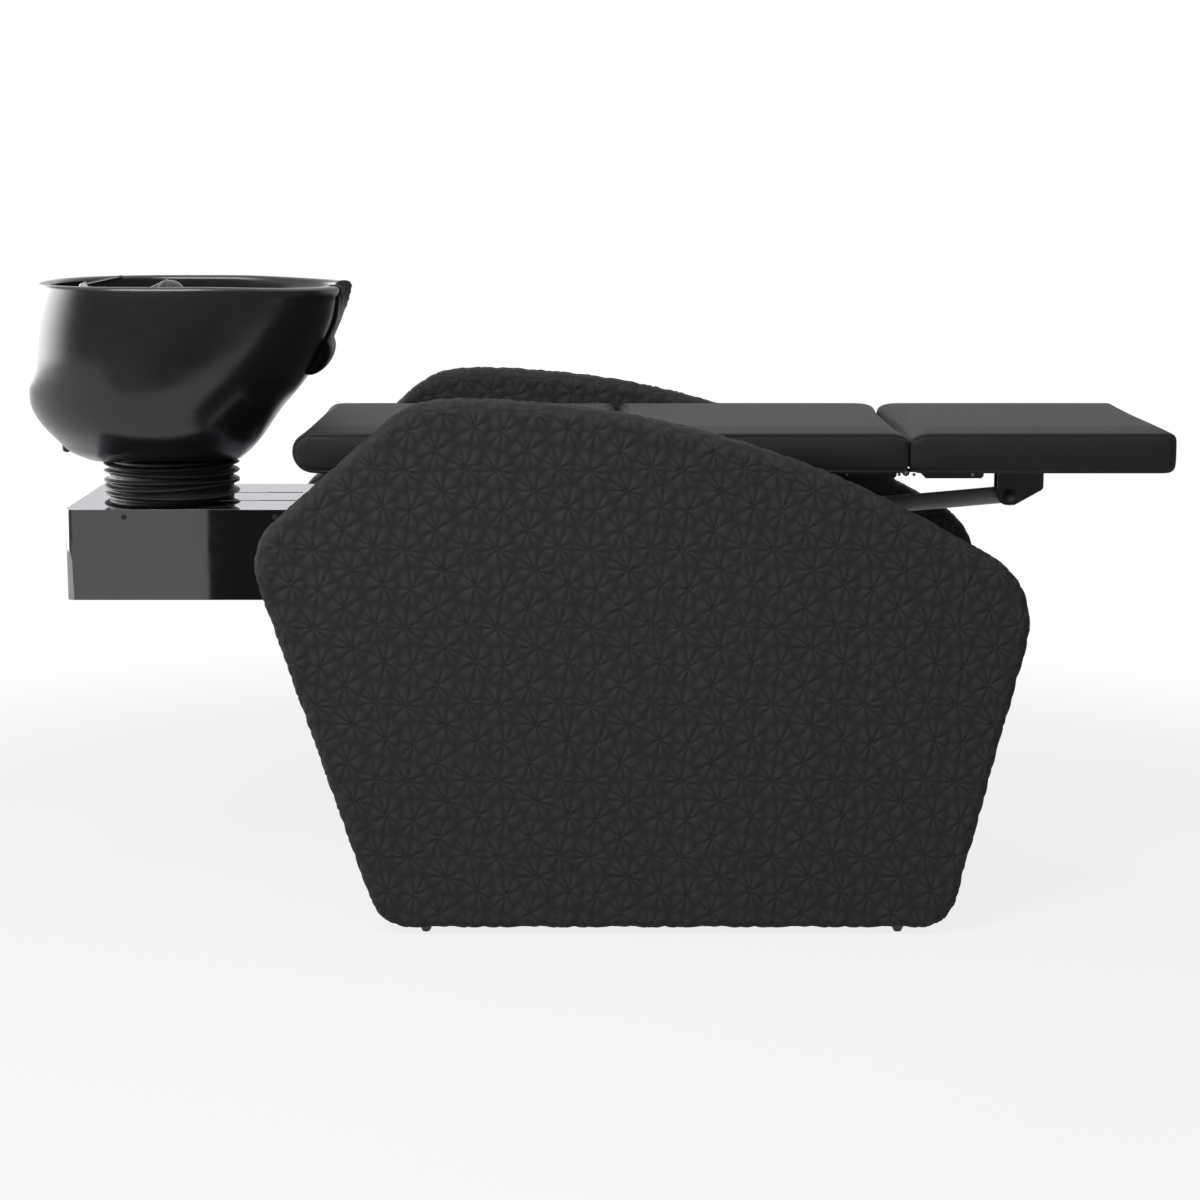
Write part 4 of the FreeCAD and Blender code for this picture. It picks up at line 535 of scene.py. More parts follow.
class Paint:
    """Principled material with helpers that hang procedural detail on its sockets."""

    def __init__(self, name, colour, roughness, metallic=0.0, specular=0.5):
        self.material, self.tree = new_material(name)
        self.material.diffuse_color = (*colour, 1)
        self.sockets = self.tree.nodes["Principled BSDF"].inputs
        self.sockets["Base Color"].default_value = (*colour, 1)
        self.sockets["Roughness"].default_value = roughness
        self.sockets["Metallic"].default_value = metallic
        self.sockets["Specular IOR Level"].default_value = specular
        self.place = new_node(self.tree, "TexCoord", {}).outputs["Object"]

    def noise(self, scale, detail=4.0, stretch=None):
        place = self.place
        if stretch:
            place = new_node(self.tree, "Mapping", {"Vector": place, "Scale": stretch}).outputs["Vector"]
        inputs = {"Vector": place, "Scale": scale, "Detail": detail}
        return new_node(self.tree, "TexNoise", inputs).outputs["Fac"]

    def cells(self, scale):
        inputs = {"Vector": self.place, "Scale": scale}
        return new_node(self.tree, "TexVoronoi", inputs, feature="DISTANCE_TO_EDGE").outputs["Distance"]

    def stored(self, name):
        return new_node(self.tree, "Attribute", {}, attribute_name=name).outputs["Fac"]

    def mapped(self, source, spread, low, high):
        inputs = dict(zip(("From Min", "From Max", "To Min", "To Max"), (*spread, low, high)))
        return new_node(self.tree, "MapRange", {"Value": source, **inputs}).outputs["Result"]

    def colour_from(self, source, dark, light):
        ramp = new_node(self.tree, "ValToRGB", {"Fac": source})
        ramp.color_ramp.elements[0].color = (*dark, 1)
        ramp.color_ramp.elements[1].color = (*light, 1)
        self.tree.links.new(ramp.outputs["Color"], self.sockets["Base Color"])

    def roughness_from(self, source, low, high, spread=NOISE_SPREAD):
        self.tree.links.new(self.mapped(source, spread, low, high), self.sockets["Roughness"])

    def bump(self, source, strength, distance, under=None):
        inputs = {"Height": source, "Strength": strength, "Distance": distance}
        if under is not None:
            inputs["Normal"] = under
        return new_node(self.tree, "Bump", inputs).outputs["Normal"]

    def surfaced(self, normal):
        """The finished material, with a bumped surface."""
        self.tree.links.new(normal, self.sockets["Normal"])
        return self.material


def grey(level, cool=0.0):
    return (level, level, level * (1 + cool))


def embossed_vinyl():
    paint = Paint("embossed_vinyl", grey(0.024, 0.03), 0.75, specular=0.12)
    # Painted shade: the colour follows the relief mark, darkest in the creases between petals and in the seam
    # groove, lighter on the raised petals
    paint.colour_from(paint.stored("relief"), grey(0.0240, 0.02), grey(0.0415, 0.02))
    paint.roughness_from(paint.noise(9, 3), 0.70, 0.80, spread=(0.35, 0.65))
    grain = paint.bump(paint.cells(1150), 0.16, 0.0003)
    return paint.surfaced(paint.bump(paint.noise(620, 2), 0.08, 0.0004, grain))


def leatherette():
    paint = Paint("black_leatherette", grey(0.016, 0.04), 0.62, specular=0.22)
    paint.colour_from(paint.cells(640), grey(0.0145, 0.02), grey(0.0350, 0.02))
    paint.roughness_from(paint.noise(420, 3), 0.55, 0.70)
    grain = paint.bump(paint.cells(640), 0.55, 0.0005)
    return paint.surfaced(paint.bump(paint.noise(900, 3), 0.12, 0.0003, grain))


def thread():
    paint = Paint("stitch_thread", grey(0.03), 0.62, specular=0.3)
    paint.colour_from(paint.noise(900, 2), grey(0.022), grey(0.042))
    return paint.surfaced(paint.bump(paint.noise(2600, 2, (1, 1, 3)), 0.4, 0.0002))


def glaze():
    paint = Paint("black_glaze", grey(0.0140, 0.02), 0.24, specular=0.52)
    paint.colour_from(paint.noise(14, 4), grey(0.0130, 0.02), grey(0.0152, 0.02))
    paint.roughness_from(paint.noise(34, 5), 0.215, 0.275)
    return paint.surfaced(paint.bump(paint.noise(55, 3), 0.035, 0.0008))


def mirror_black(name, level, cool):
    paint = Paint(name, grey(level, cool), 0.03, metallic=1.0)
    paint.colour_from(paint.noise(7, 3), grey(level * 0.95, cool), grey(level * 1.05, cool))
    paint.roughness_from(paint.noise(26, 5), 0.022, 0.045)
    return paint.surfaced(paint.bump(paint.noise(60, 2), 0.012, 0.0006))


def rubber(name, level, specular):
    paint = Paint(name, grey(level), 0.5, specular=specular)
    paint.colour_from(paint.noise(40, 5), grey(level * 0.8), grey(level * 1.25))
    paint.roughness_from(paint.noise(85, 4), 0.42, 0.58)
    return paint.surfaced(paint.bump(paint.noise(700, 3), 0.14, 0.0003))


def coated_steel(name, level):
    paint = Paint(name, grey(level, 0.05), 0.42, specular=0.5)
    paint.colour_from(paint.noise(30, 5), grey(level * 0.87, 0.05), grey(level * 1.25, 0.05))
    paint.roughness_from(paint.noise(110, 4), 0.36, 0.5)
    return paint.surfaced(paint.bump(paint.noise(950, 2), 0.16, 0.00025))


def brushed(name, level, low, high):
    paint = Paint(name, grey(level, 0.02), low, metallic=1.0)
    lines = paint.noise(55, 4, (40, 2, 40))
    paint.colour_from(lines, grey(level * 0.86, 0.02), grey(min(level * 1.12, 1), 0.02))
    paint.roughness_from(lines, low, high)
    return paint.surfaced(paint.bump(lines, 0.06, 0.0002))


def plywood():
    paint = Paint("plywood", (0.24, 0.20, 0.155), 0.62, specular=0.35)
    rings = paint.noise(9, 6, (1.2, 9, 14))
    paint.colour_from(rings, (0.19, 0.155, 0.115), (0.30, 0.25, 0.195))
    paint.roughness_from(paint.noise(70, 4), 0.55, 0.7)
    return paint.surfaced(paint.bump(rings, 0.12, 0.0006))


def laminate():
    paint = Paint("black_laminate", grey(0.018), 0.38)
    paint.colour_from(paint.noise(60, 5), grey(0.014), grey(0.023))
    paint.roughness_from(paint.noise(120, 3), 0.34, 0.46)
    return paint.surfaced(paint.bump(paint.noise(620, 2), 0.14, 0.0002))


def moulded(name, level, low, high):
    paint = Paint(name, grey(level), low)
    paint.colour_from(paint.noise(45, 4), grey(level * 0.82), grey(level * 1.2))
    paint.roughness_from(paint.noise(140, 4), low, high)
    return paint.surfaced(paint.bump(paint.noise(1400, 2), 0.1, 0.00015))


def spray_rubber():
    paint = Paint("spray_face", grey(0.10), 0.55)
    dots = paint.cells(230)
    paint.colour_from(paint.mapped(dots, (0.0, 0.4), 0, 1), grey(0.045), grey(0.14))
    return paint.surfaced(paint.bump(dots, 0.5, 0.0009))


slot_looks = {
    "embossed_vinyl": embossed_vinyl(),
    "black_leatherette": leatherette(),
    "plywood": plywood(),
    "black_laminate": laminate(),
    "black_steel": coated_steel("black_steel", 0.030),
    "bright_steel": brushed("bright_steel", 0.58, 0.20, 0.34),
    "grey_steel": brushed("grey_steel", 0.42, 0.32, 0.46),
    "gloss_black_steel": mirror_black("gloss_black_steel", 0.286, 0.02),
    "black_plastic": moulded("black_plastic", 0.020, 0.44, 0.56),
    "black_rubber": rubber("black_rubber", 0.026, 0.36),
    "black_glaze": glaze(),
    "grey_pipe": moulded("grey_pipe", 0.34, 0.40, 0.52),
    "chrome_plate": brushed("chrome_plate", 0.80, 0.06, 0.12),
    "black_fitting": moulded("black_fitting", 0.016, 0.16, 0.24),
    "spray_face": spray_rubber(),
}
thread_look = thread()
cap_look = brushed("satin_cap", 0.34, 0.26, 0.36)
neck_look = rubber("neck_rubber", 0.008, 0.14)
node_looks = {
    # Painted reflection: the lid is a darker, lilac-tinted copy of the box's gloss black steel, standing in
    # for the dimmer, tinted reflection on the box's top
    "box_lid": mirror_black("box_lid_gloss", 0.176, 0.26),
    "lid_screws": moulded("blackened_screw", 0.006, 0.55, 0.65),
    "leg_link": coated_steel("grey_coat", 0.29),
    "back_pivot_bolts": moulded("black_bolt", 0.010, 0.55, 0.65),
}
slot_of = {part["node"]: part["material_slot"] for part in record["subparts"]}


def dress(piece, body, slot, *stands_for):
    """Puts a new piece on its body with its slot's material, in place of the CAD nodes it stands for."""
    piece.data.materials.clear()
    piece.data.materials.append(slot_looks[slot])
    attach(piece, body)
    if stands_for:
        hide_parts(*stands_for)
    return piece


def ray_share(turn, count, start):
    """Place between two rays, from 0 to 1, of a turn about a star whose rays sway from even spacing."""
    even = turn * count / (2 * math.pi) + start
    return np.mod(even + RAY_SWAY * np.sin(2 * turn + 5 * start), 1)


def star_cells(u, v):
    """For each place: the reach of its nearest star and of the next one, and its share between rays."""
    nearest = np.full(len(u), np.inf)
    following = np.full(len(u), np.inf)
    share = np.zeros(len(u))
    tile_u = np.floor(u / TILE_LENGTH)
    tile_v = np.floor(v / TILE_HEIGHT)
    for du in (-1, 0, 1):
        for dv in (-1, 0, 1):
            for place_u, place_v, count, start in STAR_SHARES:
                x = u - (tile_u + du + place_u) * TILE_LENGTH
                y = v - (tile_v + dv + place_v) * TILE_HEIGHT
                reach = np.hypot(x, y)
                closer = reach < nearest
                following = np.where(closer, nearest, np.minimum(following, reach))
                share = np.where(closer, ray_share(np.arctan2(y, x), count, start), share)
                nearest = np.minimum(nearest, reach)
    return nearest, following, share


def star_relief(u, v):
    """Height from 0 to 1: a pillow in each petal, creased along the star's rays and between stars."""
    nearest, following, share = star_cells(u, v)
    across = np.sin(math.pi * share) ** PETAL_ROUND
    place = 2 * nearest / (nearest + following)
    along = np.sin(math.pi * np.clip(place, 0, 1) ** PETAL_LEAN)
    return across * np.clip(along, 0, 1) ** PETAL_FILL


def ridge_spots(low, high):
    """Points along every crease and petal middle between two corners of a face."""
    turns = np.linspace(-math.pi, math.pi, RAY_TURNS, endpoint=False)
    spots = []
    for place_u, place_v, count, start in STAR_SHARES:
        share = ray_share(turns, count, start)
        creases = np.nonzero(np.diff(share, append=share[0]) < -0.5)[0]
        middles = np.nonzero((share < 0.5) & (np.roll(share, -1) >= 0.5))[0]
        rays = turns[np.concatenate([creases, middles])]
        for i in range(math.floor(low[0] / TILE_LENGTH), math.ceil(high[0] / TILE_LENGTH)):
            for j in range(math.floor(low[1] / TILE_HEIGHT), math.ceil(high[1] / TILE_HEIGHT)):
                for reach in np.arange(STAR_HEART, STAR_END, RIDGE_POINTS):
                    x = (i + place_u) * TILE_LENGTH + reach * np.cos(rays)
                    y = (j + place_v) * TILE_HEIGHT + reach * np.sin(rays)
                    own = star_cells(x, y)[0] > reach - WELD
                    spots.append(np.column_stack([x, y])[own])
    return np.vstack(spots)


def stitches(name, spots, headings, normals, body):
    """Row of short raised thread runs, one at each spot, joined into one piece."""
    points = []
    faces = []
    run_faces = capped_faces(len(STITCH_SHARES), STITCH_SIDES)
    for spot, heading, normal in zip(spots, headings, normals):
        ahead = Vector(heading).normalized()
        up = Vector(normal).normalized()
        across = ahead.cross(up)
        faces += [[len(points) + i for i in face] for face in run_faces]
        for place, size in STITCH_SHARES:
            middle = Vector(spot) + ahead * (place * STITCH_LENGTH)
            radius = STITCH_RADIUS * size
            points += ring(middle, across * radius, up * (STITCH_FLATNESS * radius), STITCH_SIDES)
    piece = mesh_piece(name, points, faces)
    piece.data.materials.append(thread_look)
    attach(piece, body)
    return piece


def stitch_along(loop, keep):
    """Places, headings and outward directions a stitch pitch apart on a loop, where keep(u, v) is true."""
    marks = evenly(loop, STITCH_PITCH)
    chosen = [i for i, (u, v) in enumerate(marks) if keep(u, v)]
    return marks[chosen], loop_headings(marks)[chosen], outward(marks)[chosen]


# Side panels: padded, embossed, with a sewn seam round the rim and the bare board inside
def panel(node, name, side):
    low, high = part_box(node)
    outer = high.y if side > 0 else low.y
    inner = low.y if side > 0 else high.y
    depth = abs(outer - inner)
    loop = section_loop(node, outer - side * PANEL_SECTION_BACK, LOOP_STEP)
    normals = outward(loop)
    face_loop = loop - normals * PANEL_ROUND
    skin = Skin()
    rows = []
    marks = []
    quarter = PANEL_ROUND * math.pi / 2
    straight = depth - 2 * PANEL_ROUND
    total = 2 * quarter + straight
    for reach in np.linspace(0, total, RIM_ROWS):
        along = min(max(reach - quarter, 0), straight)
        turn = (reach - along) / PANEL_ROUND
        back = PANEL_ROUND * (1 - math.cos(turn)) + along
        inset = PANEL_ROUND * (1 - math.sin(turn))
        near = min(reach, total - reach)
        flat = face_loop + normals * near
        relief = star_relief(flat[:, 0], flat[:, 1])
        seam = np.exp(-((reach - total / 2) / SEAM_HALF) ** 2)
        ease = 1 - (1 - RIM_RELIEF_SHARE) * smooth_step(near, quarter, total / 2)
        sink = RELIEF * ease * (1 - relief) * (1 - seam) + SEAM_DEPTH * seam
        flat = loop - normals * (inset + sink * math.sin(turn))[:, None]
        rows.append(upright(flat, outer - side * (back + sink * math.cos(turn))))
        # Marks for the vinyl's painted shade: the relief height, falling to 0, the darkest, in the seam
        # groove
        marks.append(relief * (1 - seam))
    skin.add_rows(rows, marks)

    lines = ridge_spots(face_loop.min(axis=0), face_loop.max(axis=0))
    spots, faces = filled(face_loop, PANEL_STEP, lines)
    relief = star_relief(spots[:, 0], spots[:, 1])
    skin.add(upright(spots, outer - side * RELIEF * (1 - relief)), faces, relief)

    board = section_loop("panel_boards", inner + side * BOARD_SECTION_BACK, LOOP_STEP)
    hollow = inside_of(spots, board) * (BOARD_SHOW + RELIEF)
    skin.add(upright(spots, inner + side * (RELIEF * (1 - relief) + hollow)), faces, relief)
    piece = skin.piece(name, "relief")
    dress(piece, "base", "embossed_vinyl", node)
    seam_loop = loop - normals * (SEAM_DEPTH / 2)
    seam_y = (inner + outer) / 2
    places, along, around = stitch_along(seam_loop, lambda u, v: True)
    stitches(name + "_stitches",
             [(u, seam_y, v) for u, v in places],
             [(du, 0, dv) for du, dv in along],
             [(nu, 0, nv) for nu, nv in around], "base")
    return piece


# Pads: leatherette pulled over foam, sewn along the edges of both sides
def inflated(piece, pinned):
    """Lets the cover settle as cloth with air pressure inside it between its pinned seams."""
    group = piece.vertex_groups.new(name="seams")
    group.add(pinned, 1.0, "REPLACE")
    cloth = piece.modifiers.new("fill", "CLOTH")
    cloth.settings.use_pressure = True
    cloth.settings.uniform_pressure_force = PAD_PRESSURE
    cloth.settings.effector_weights.gravity = 0
    cloth.settings.vertex_group_mass = "seams"
    cloth.point_cache.frame_start = 1
    cloth.point_cache.frame_end = SETTLE_FRAMES
    for number in range(1, SETTLE_FRAMES + 1):
        scene.frame_set(number)
    shown = piece.evaluated_get(bpy.context.evaluated_depsgraph_get())
    count = len(piece.data.vertices)
    after = np.zeros(count * 3)
    shown.data.vertices.foreach_get("co", after)
    before = np.zeros(count * 3)
    piece.data.vertices.foreach_get("co", before)
    move = (after - before).reshape(-1, 3)
    length = np.linalg.norm(move, axis=1)
    move *= np.minimum(1, PAD_SWELL / np.maximum(length, WELD))[:, None]
    piece.modifiers.remove(cloth)
    piece.vertex_groups.remove(group)
    piece.data.vertices.foreach_set("co", before + move.ravel())
    piece.data.update()
    scene.frame_set(1)


def pad(node, board_node, body, joints):
    """Pad cover; joints lists the ends, -1 rear and 1 front, that meet another pad."""
    low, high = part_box(node)
    half = high.y
    loop = softened_loop(section_loop(node, half - PAD_SECTION_BACK, LOOP_STEP), PAD_SOFT)
    normals = outward(loop)
    board_low, board_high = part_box(board_node)
    bottom = loop[:, 1] < low.z + PAD_FLAT_BAND
    over_board = (loop[:, 0] > board_low.x) & (loop[:, 0] < board_high.x) & bottom
    upper = normals[:, 1] > UPWARD
    tight = np.ones(len(loop))
    for end in joints:
        tight -= JOINT_TIGHTNESS * smooth_step(end * normals[:, 0], *JOINT_LEANS)

    # Rows across the pad: inset from the outline, place, and 1 on a sewn line
    edge = [(SIDE_SEAM + SIDE_SEAM_HALF, 0, 0), (SIDE_SEAM, PAD_LINE, 1)]
    edge.append((SIDE_SEAM - SIDE_SEAM_HALF, PAD_FACE, 0))
    for lean in np.radians(PAD_ROLL_TURNS):
        edge.append((PAD_ROLL * (1 - math.sin(lean)), PAD_ROLL * (1 - math.cos(lean)), 0))
    edge += [(0, TOP_SEAM - TOP_SEAM_HALF, 0), (PAD_LINE, TOP_SEAM, 1), (0, TOP_SEAM + TOP_SEAM_HALF, 0)]
    edge.append((-PAD_RISE, PAD_RISE_BACK, 0))
    inner = half - PAD_RISE_BACK
    count = int(round(2 * inner / PAD_ROW))
    profile = [(inset, back - half, line) for inset, back, line in edge]
    profile += [(-PAD_RISE, y, 0) for y in np.linspace(-inner, inner, count + 1)[1:-1]]
    profile += [(inset, -y, line) for inset, y, line in reversed(profile[:len(edge)])]

    skin = Skin()
    rows = []
    marks = []
    for inset, y, line in profile:
        flat = loop - normals * (inset * tight)[:, None]
        lift = np.where(upper, PAD_CROWN * (1 - (y / half) ** 2), 0)
        flat[:, 1] += lift + np.where(over_board & (abs(y) < board_high.y), BOARD_SHOW, 0)
        rows.append(upright(flat, np.full(len(flat), y)))
        marks.append(np.full(len(flat), line))
    skin.add_rows(rows, marks)
    side_loop = loop - normals * (edge[0][0] * tight)[:, None]
    spots, faces = filled(side_loop, PAD_STEP)
    bulge = PAD_BULGE * smooth_step(distance_to(spots, side_loop), 0, PAD_BULGE_RUN)
    for side in (-1, 1):
        skin.add(upright(spots, side * (half + bulge)), faces)
    piece = skin.piece(node + "_cover", "seam")
    held = np.zeros(len(piece.data.vertices), np.float32)
    piece.data.attributes["seam"].data.foreach_get("value", held)
    low_points = [v.index for v in piece.data.vertices if v.co.z < low.z + PAD_PINNED_BAND]
    pinned = sorted(set(np.nonzero(held > 0.5)[0].tolist()) | set(low_points))
    inflated(piece, pinned)
    dress(piece, body, "black_leatherette", node)

    sewn_low = low.z + SEWN_LIFT
    depth = PAD_LINE - STITCH_SINK
    places, along, around = stitch_along(loop, lambda u, v: v > sewn_low)
    spots = []
    headings = []
    ups = []
    for side in (-1, 1):
        for (u, v), (du, dv), (nu, nv) in zip(places, along, around):
            spots.append((u - nu * depth, side * (half - TOP_SEAM), v - nv * depth))
            ups.append((nu, 0, nv))
            spots.append((u - nu * SIDE_SEAM, side * (half - depth), v - nv * SIDE_SEAM))
            ups.append((0, side, 0))
            headings += [(du, 0, dv)] * 2
    stitches(node + "_stitches", spots, headings, ups, body)
    return piece


# Bowl: one glazed skin of rings from the drain up the basin, over the lip and down the outside
def ring_shares(table, share):
    """Rear, front and side shares and squareness at a height, on a smooth curve through the table."""
    heights = np.array([row[0] for row in table])
    values = np.array([row[1:] for row in table])
    slopes = np.gradient(values, heights, axis=0)
    share = min(max(share, heights[0]), heights[-1])
    k = min(int(np.searchsorted(heights, share, side="right")) - 1, len(heights) - 2)
    run = heights[k + 1] - heights[k]
    t = (share - heights[k]) / run
    return (
        (2 * t ** 3 - 3 * t ** 2 + 1) * values[k]
        + (t ** 3 - 2 * t ** 2 + t) * run * slopes[k]
        + (3 * t ** 2 - 2 * t ** 3) * values[k + 1]
        + (t ** 3 - t ** 2) * run * slopes[k + 1]
    )


bowl_low, bowl_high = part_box("bowl")
strainer_low, strainer_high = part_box("strainer")
bowl_axis = (strainer_low.x + strainer_high.x) / 2
bowl_rear_half = bowl_axis - bowl_low.x
bowl_front_half = bowl_high.x - bowl_axis
bowl_rise = bowl_high.z - bowl_low.z


def bowl_reach(table, share, turn):
    """Distance of a ring from the bowl's axis, at a height and a turn about the axis."""
    rear, front, side, rear_square, front_square = ring_shares(table, share)
    ahead = math.cos(turn) > 0
    along = bowl_front_half * front if ahead else bowl_rear_half * rear
    square = front_square if ahead else rear_square
    across = BOWL_SIDE_HALF * side
    return (abs(math.cos(turn) / along) ** square + abs(math.sin(turn) / across) ** square) ** (-1 / square)


def height_share(z):
    return (z - bowl_low.z) / bowl_rise


def rim_height(turn):
    """Top of the lip at a turn about the axis: lower towards the front, with a round dip for the neck."""
    top = bowl_high.z - RIM_SINK * smooth_step(math.cos(turn), RIM_SINK_FROM, 1)
    if math.cos(turn) <= 0:
        return top
    y = abs(bowl_reach(BOWL_RING_SHARES, NECK_SHARE, turn) * math.sin(turn))
    floor = top - NECK_DIP + NECK_RADIUS
    dip = floor - math.sqrt(max(NECK_RADIUS ** 2 - y * y, 0)) if y < NECK_RADIUS else floor
    mix = min(max(0.5 + 0.5 * (top - dip) / NECK_SOFT, 0), 1)
    return top * (1 - mix) + dip * mix - NECK_SOFT * mix * (1 - mix)


def lip_arc(turn, top):
    """Rounded top of the lip from its inner to its outer edge, as (radius, height) pairs."""
    lip_in = bowl_reach(RECESS_RING_SHARES, height_share(top), turn)
    lip_out = bowl_reach(BOWL_RING_SHARES, height_share(top), turn)
    middle = (lip_in + lip_out) / 2
    half = (lip_out - lip_in) / 2
    arc = []
    for lean in LIP_LEANS:
        x = math.copysign(abs(math.cos(lean)) ** RIM_SQUARE, math.cos(lean))
        arc.append((middle + half * x, top - RIM_ROUND * (1 - math.sin(lean) ** RIM_SQUARE)))
    return arc


def wall_points(table, turn, heights):
    return [(bowl_reach(table, height_share(z), turn), z) for z in heights]


def bowl():
    columns = []
    turns = full_turn(BOWL_COLUMNS)
    floor_share = BASIN_RING_SHARES[0][0]
    floor_z = bowl_low.z + bowl_rise * floor_share
    basin_shares = np.linspace(floor_share + BASIN_FOOT_SHARE, DECK_SHARE - DECK_EDGE_SHARE, BASIN_ROWS)
    deck_z = bowl_low.z + bowl_rise * DECK_SHARE
    soft_share = DECK_STEPS[1]
    for turn in turns:
        column = [(DRAIN_RADIUS, bowl_low.z), (DRAIN_RADIUS, floor_z - DRAIN_EDGE)]
        edge = bowl_reach(BASIN_RING_SHARES, floor_share, turn)
        for t in FLOOR_STEPS:
            column.append((DRAIN_RADIUS + DRAIN_EDGE + (edge - DRAIN_RADIUS) * t, floor_z + FLOOR_FALL * t))
        column += wall_points(BASIN_RING_SHARES, turn, bowl_low.z + bowl_rise * basin_shares)
        ledge = bowl_reach(BASIN_RING_SHARES, DECK_SHARE, turn)
        wall = bowl_reach(RECESS_RING_SHARES, DECK_SHARE, turn)
        for t in DECK_STEPS:
            soft = max(1 - t / soft_share, 0) - max(1 - (1 - t) / soft_share, 0)
            column.append((ledge + (wall - ledge) * t, deck_z - DECK_SOFT * soft))
        top = rim_height(turn)
        shoulder = top - RIM_ROUND
        column += wall_points(RECESS_RING_SHARES, turn, deck_z + (shoulder - deck_z) * RECESS_STEPS)
        column += lip_arc(turn, top)
        column += wall_points(BOWL_RING_SHARES, turn, bowl_low.z + (shoulder - bowl_low.z) * OUTSIDE_STEPS)
        column += [(column[-1][0] - FOOT_EDGE, bowl_low.z), (DRAIN_RADIUS, bowl_low.z)]
        columns.append(column)
    rows = [wrapped(bowl_axis, radius, turns, z) for radius, z in np.array(columns).transpose(1, 2, 0)]
    return dress(ringed("bowl_shell", rows), "basin", "black_glaze", "bowl")


def neck_rest():
    """Rubber saddle over the dipped lip, thin on the apron and fat along its rolled lower edge."""
    half_turn = math.asin(REST_HALF_WIDTH / bowl_front_half)
    bead_z = bowl_high.z - BEAD_DROP
    upper_rows = []
    under_rows = []
    for place in np.sin(np.linspace(-math.pi / 2, math.pi / 2, REST_COLUMNS)):
        turn = half_turn * place
        shoulder = rim_height(turn) - RIM_ROUND
        inside = np.linspace(shoulder - REST_INSIDE, shoulder, REST_INSIDE_ROWS)
        outside = np.linspace(shoulder, bowl_high.z - REST_DROP, REST_OUTSIDE_ROWS)
        route = wall_points(RECESS_RING_SHARES, turn, inside)
        route += lip_arc(turn, rim_height(turn))
        narrowed = turn * (1 - REST_TAPER * smooth_step(shoulder - outside, 0, REST_TAPER_RUN))
        turns = np.concatenate([np.full(len(route), turn), narrowed])
        for z, lean in zip(outside, narrowed):
            route.append((bowl_reach(BOWL_RING_SHARES, height_share(z), lean), z))
        route = np.array(route)
        reach = reach_along(route)
        marks = reach[-1] * np.sin(np.linspace(0, math.pi / 2, REST_ROWS))
        route = at_marks(route, reach, marks)
        turns = np.interp(marks, reach, turns)
        along = np.gradient(route, axis=0)
        lift = np.column_stack([-along[:, 1], along[:, 0]]) / np.hypot(*along.T)[:, None]
        z = route[:, 1]
        past_lip = marks > REST_INSIDE + RIM_ROUND
        bead = BEAD_DEPTH * np.sqrt(np.clip(1 - ((z - bead_z) / BEAD_HALF_HEIGHT) ** 2, 0, 1)) * past_lip
        swell = smooth_step(shoulder - z, 0, REST_INSIDE) * past_lip
        apron = REST_TOP_THICKNESS + (REST_THICKNESS - REST_TOP_THICKNESS) * swell
        apron *= np.where(past_lip, smooth_step(z, bead_z - BEAD_HALF_HEIGHT / 2, bead_z), 1)
        thickness = (bead ** REST_MERGE + apron ** REST_MERGE) ** (1 / REST_MERGE)
        thickness *= np.sqrt(smooth_step(marks, 0, REST_THICKNESS))
        thickness *= math.sqrt(1 - abs(place) ** REST_END_SQUARE)
        thickness[-1] = 0
        rows = (route + lift * (thickness[:, None] + WELD), route + lift * WELD)
        for row, kept in zip(rows, (upper_rows, under_rows)):
            kept.append(wrapped(bowl_axis, row[:, 0], turns, row[:, 1]))
    skin = Skin()
    for kept in (upper_rows, under_rows):
        skin.add_rows(kept, closed=False)
    piece = dress(skin.piece("neck_cushion"), "basin", "black_rubber", "neck_rest")
    piece.data.materials[0] = neck_look
    return piece


def grommet():
    """Plug under the rear of the bowl, rounded at its lower end."""
    low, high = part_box("bowl_grommet")
    radius = (high.x - low.x) / 2
    low.z -= radius / 2
    rise = high.z - low.z
    profile = [(radius * PLUG_TIP_SHARE, 0.0)]
    for lean in np.radians(PLUG_TURNS):
        profile.append((radius * math.sin(lean), radius * PLUG_ROUND_SHARE * (1 - math.cos(lean))))
    profile += [(radius, rise - radius * PLUG_CHAMFER_SHARE), (radius * (1 - PLUG_TIP_SHARE), rise)]
    spot = ((low.x + high.x) / 2, (low.y + high.y) / 2, low.z)
    plug = turned("bowl_plug", profile, spot, UP, segments=36)
    return dress(plug, "basin", "black_rubber", "bowl_grommet")


def bellows():
    """Pleated rubber boot whose folds crowd together on one side, as soft rubber settles."""
    low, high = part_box("bellows")
    ridge = (high.x - low.x) / 2
    middle = (low.x + high.x) / 2
    wide = np.array(BOOT_WIDE_SHARES)
    tight = np.array(BOOT_TIGHT_SHARES)
    order = np.arange(len(wide))
    turns = full_turn(BOOT_COLUMNS)
    around = turns[:, None]
    folds = wide + (tight - wide) * (0.5 + 0.5 * np.cos(around + BOOT_CROWDED_TURN))
    folds += BOOT_WAVE * np.sin(2 * around + BOOT_WAVE_LAG * order)
    folds += BOOT_SLANT * np.sin(around + BOOT_SLANT_LAG * order)
    half_fold = 0.5 / (len(wide) + 1)
    levels = np.linspace(0, 1, BOOT_ROWS)
    gaps = np.abs(levels[None, :, None] - folds[:, None, :]).min(axis=2)
    outer = ridge - BOOT_DEPTH * np.sin(math.pi / 2 * np.clip(gaps / half_fold, 0, 1)) ** BOOT_ROUND
    walls = np.hstack([outer, outer[:, ::-1] - BOOT_WALL, outer[:, :1]])
    heights = low.z + (high.z - low.z) * np.concatenate([levels, levels[::-1], levels[:1]])
    rows = []
    for radius, z in zip(walls.T, heights):
        rows.append(wrapped(middle, radius, turns, np.full(BOOT_COLUMNS, z)))
    piece = ringed("bellows_boot", rows)
    piece.data.materials.append(slot_looks["black_rubber"])
    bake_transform(piece)
    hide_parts("bellows")
    return piece


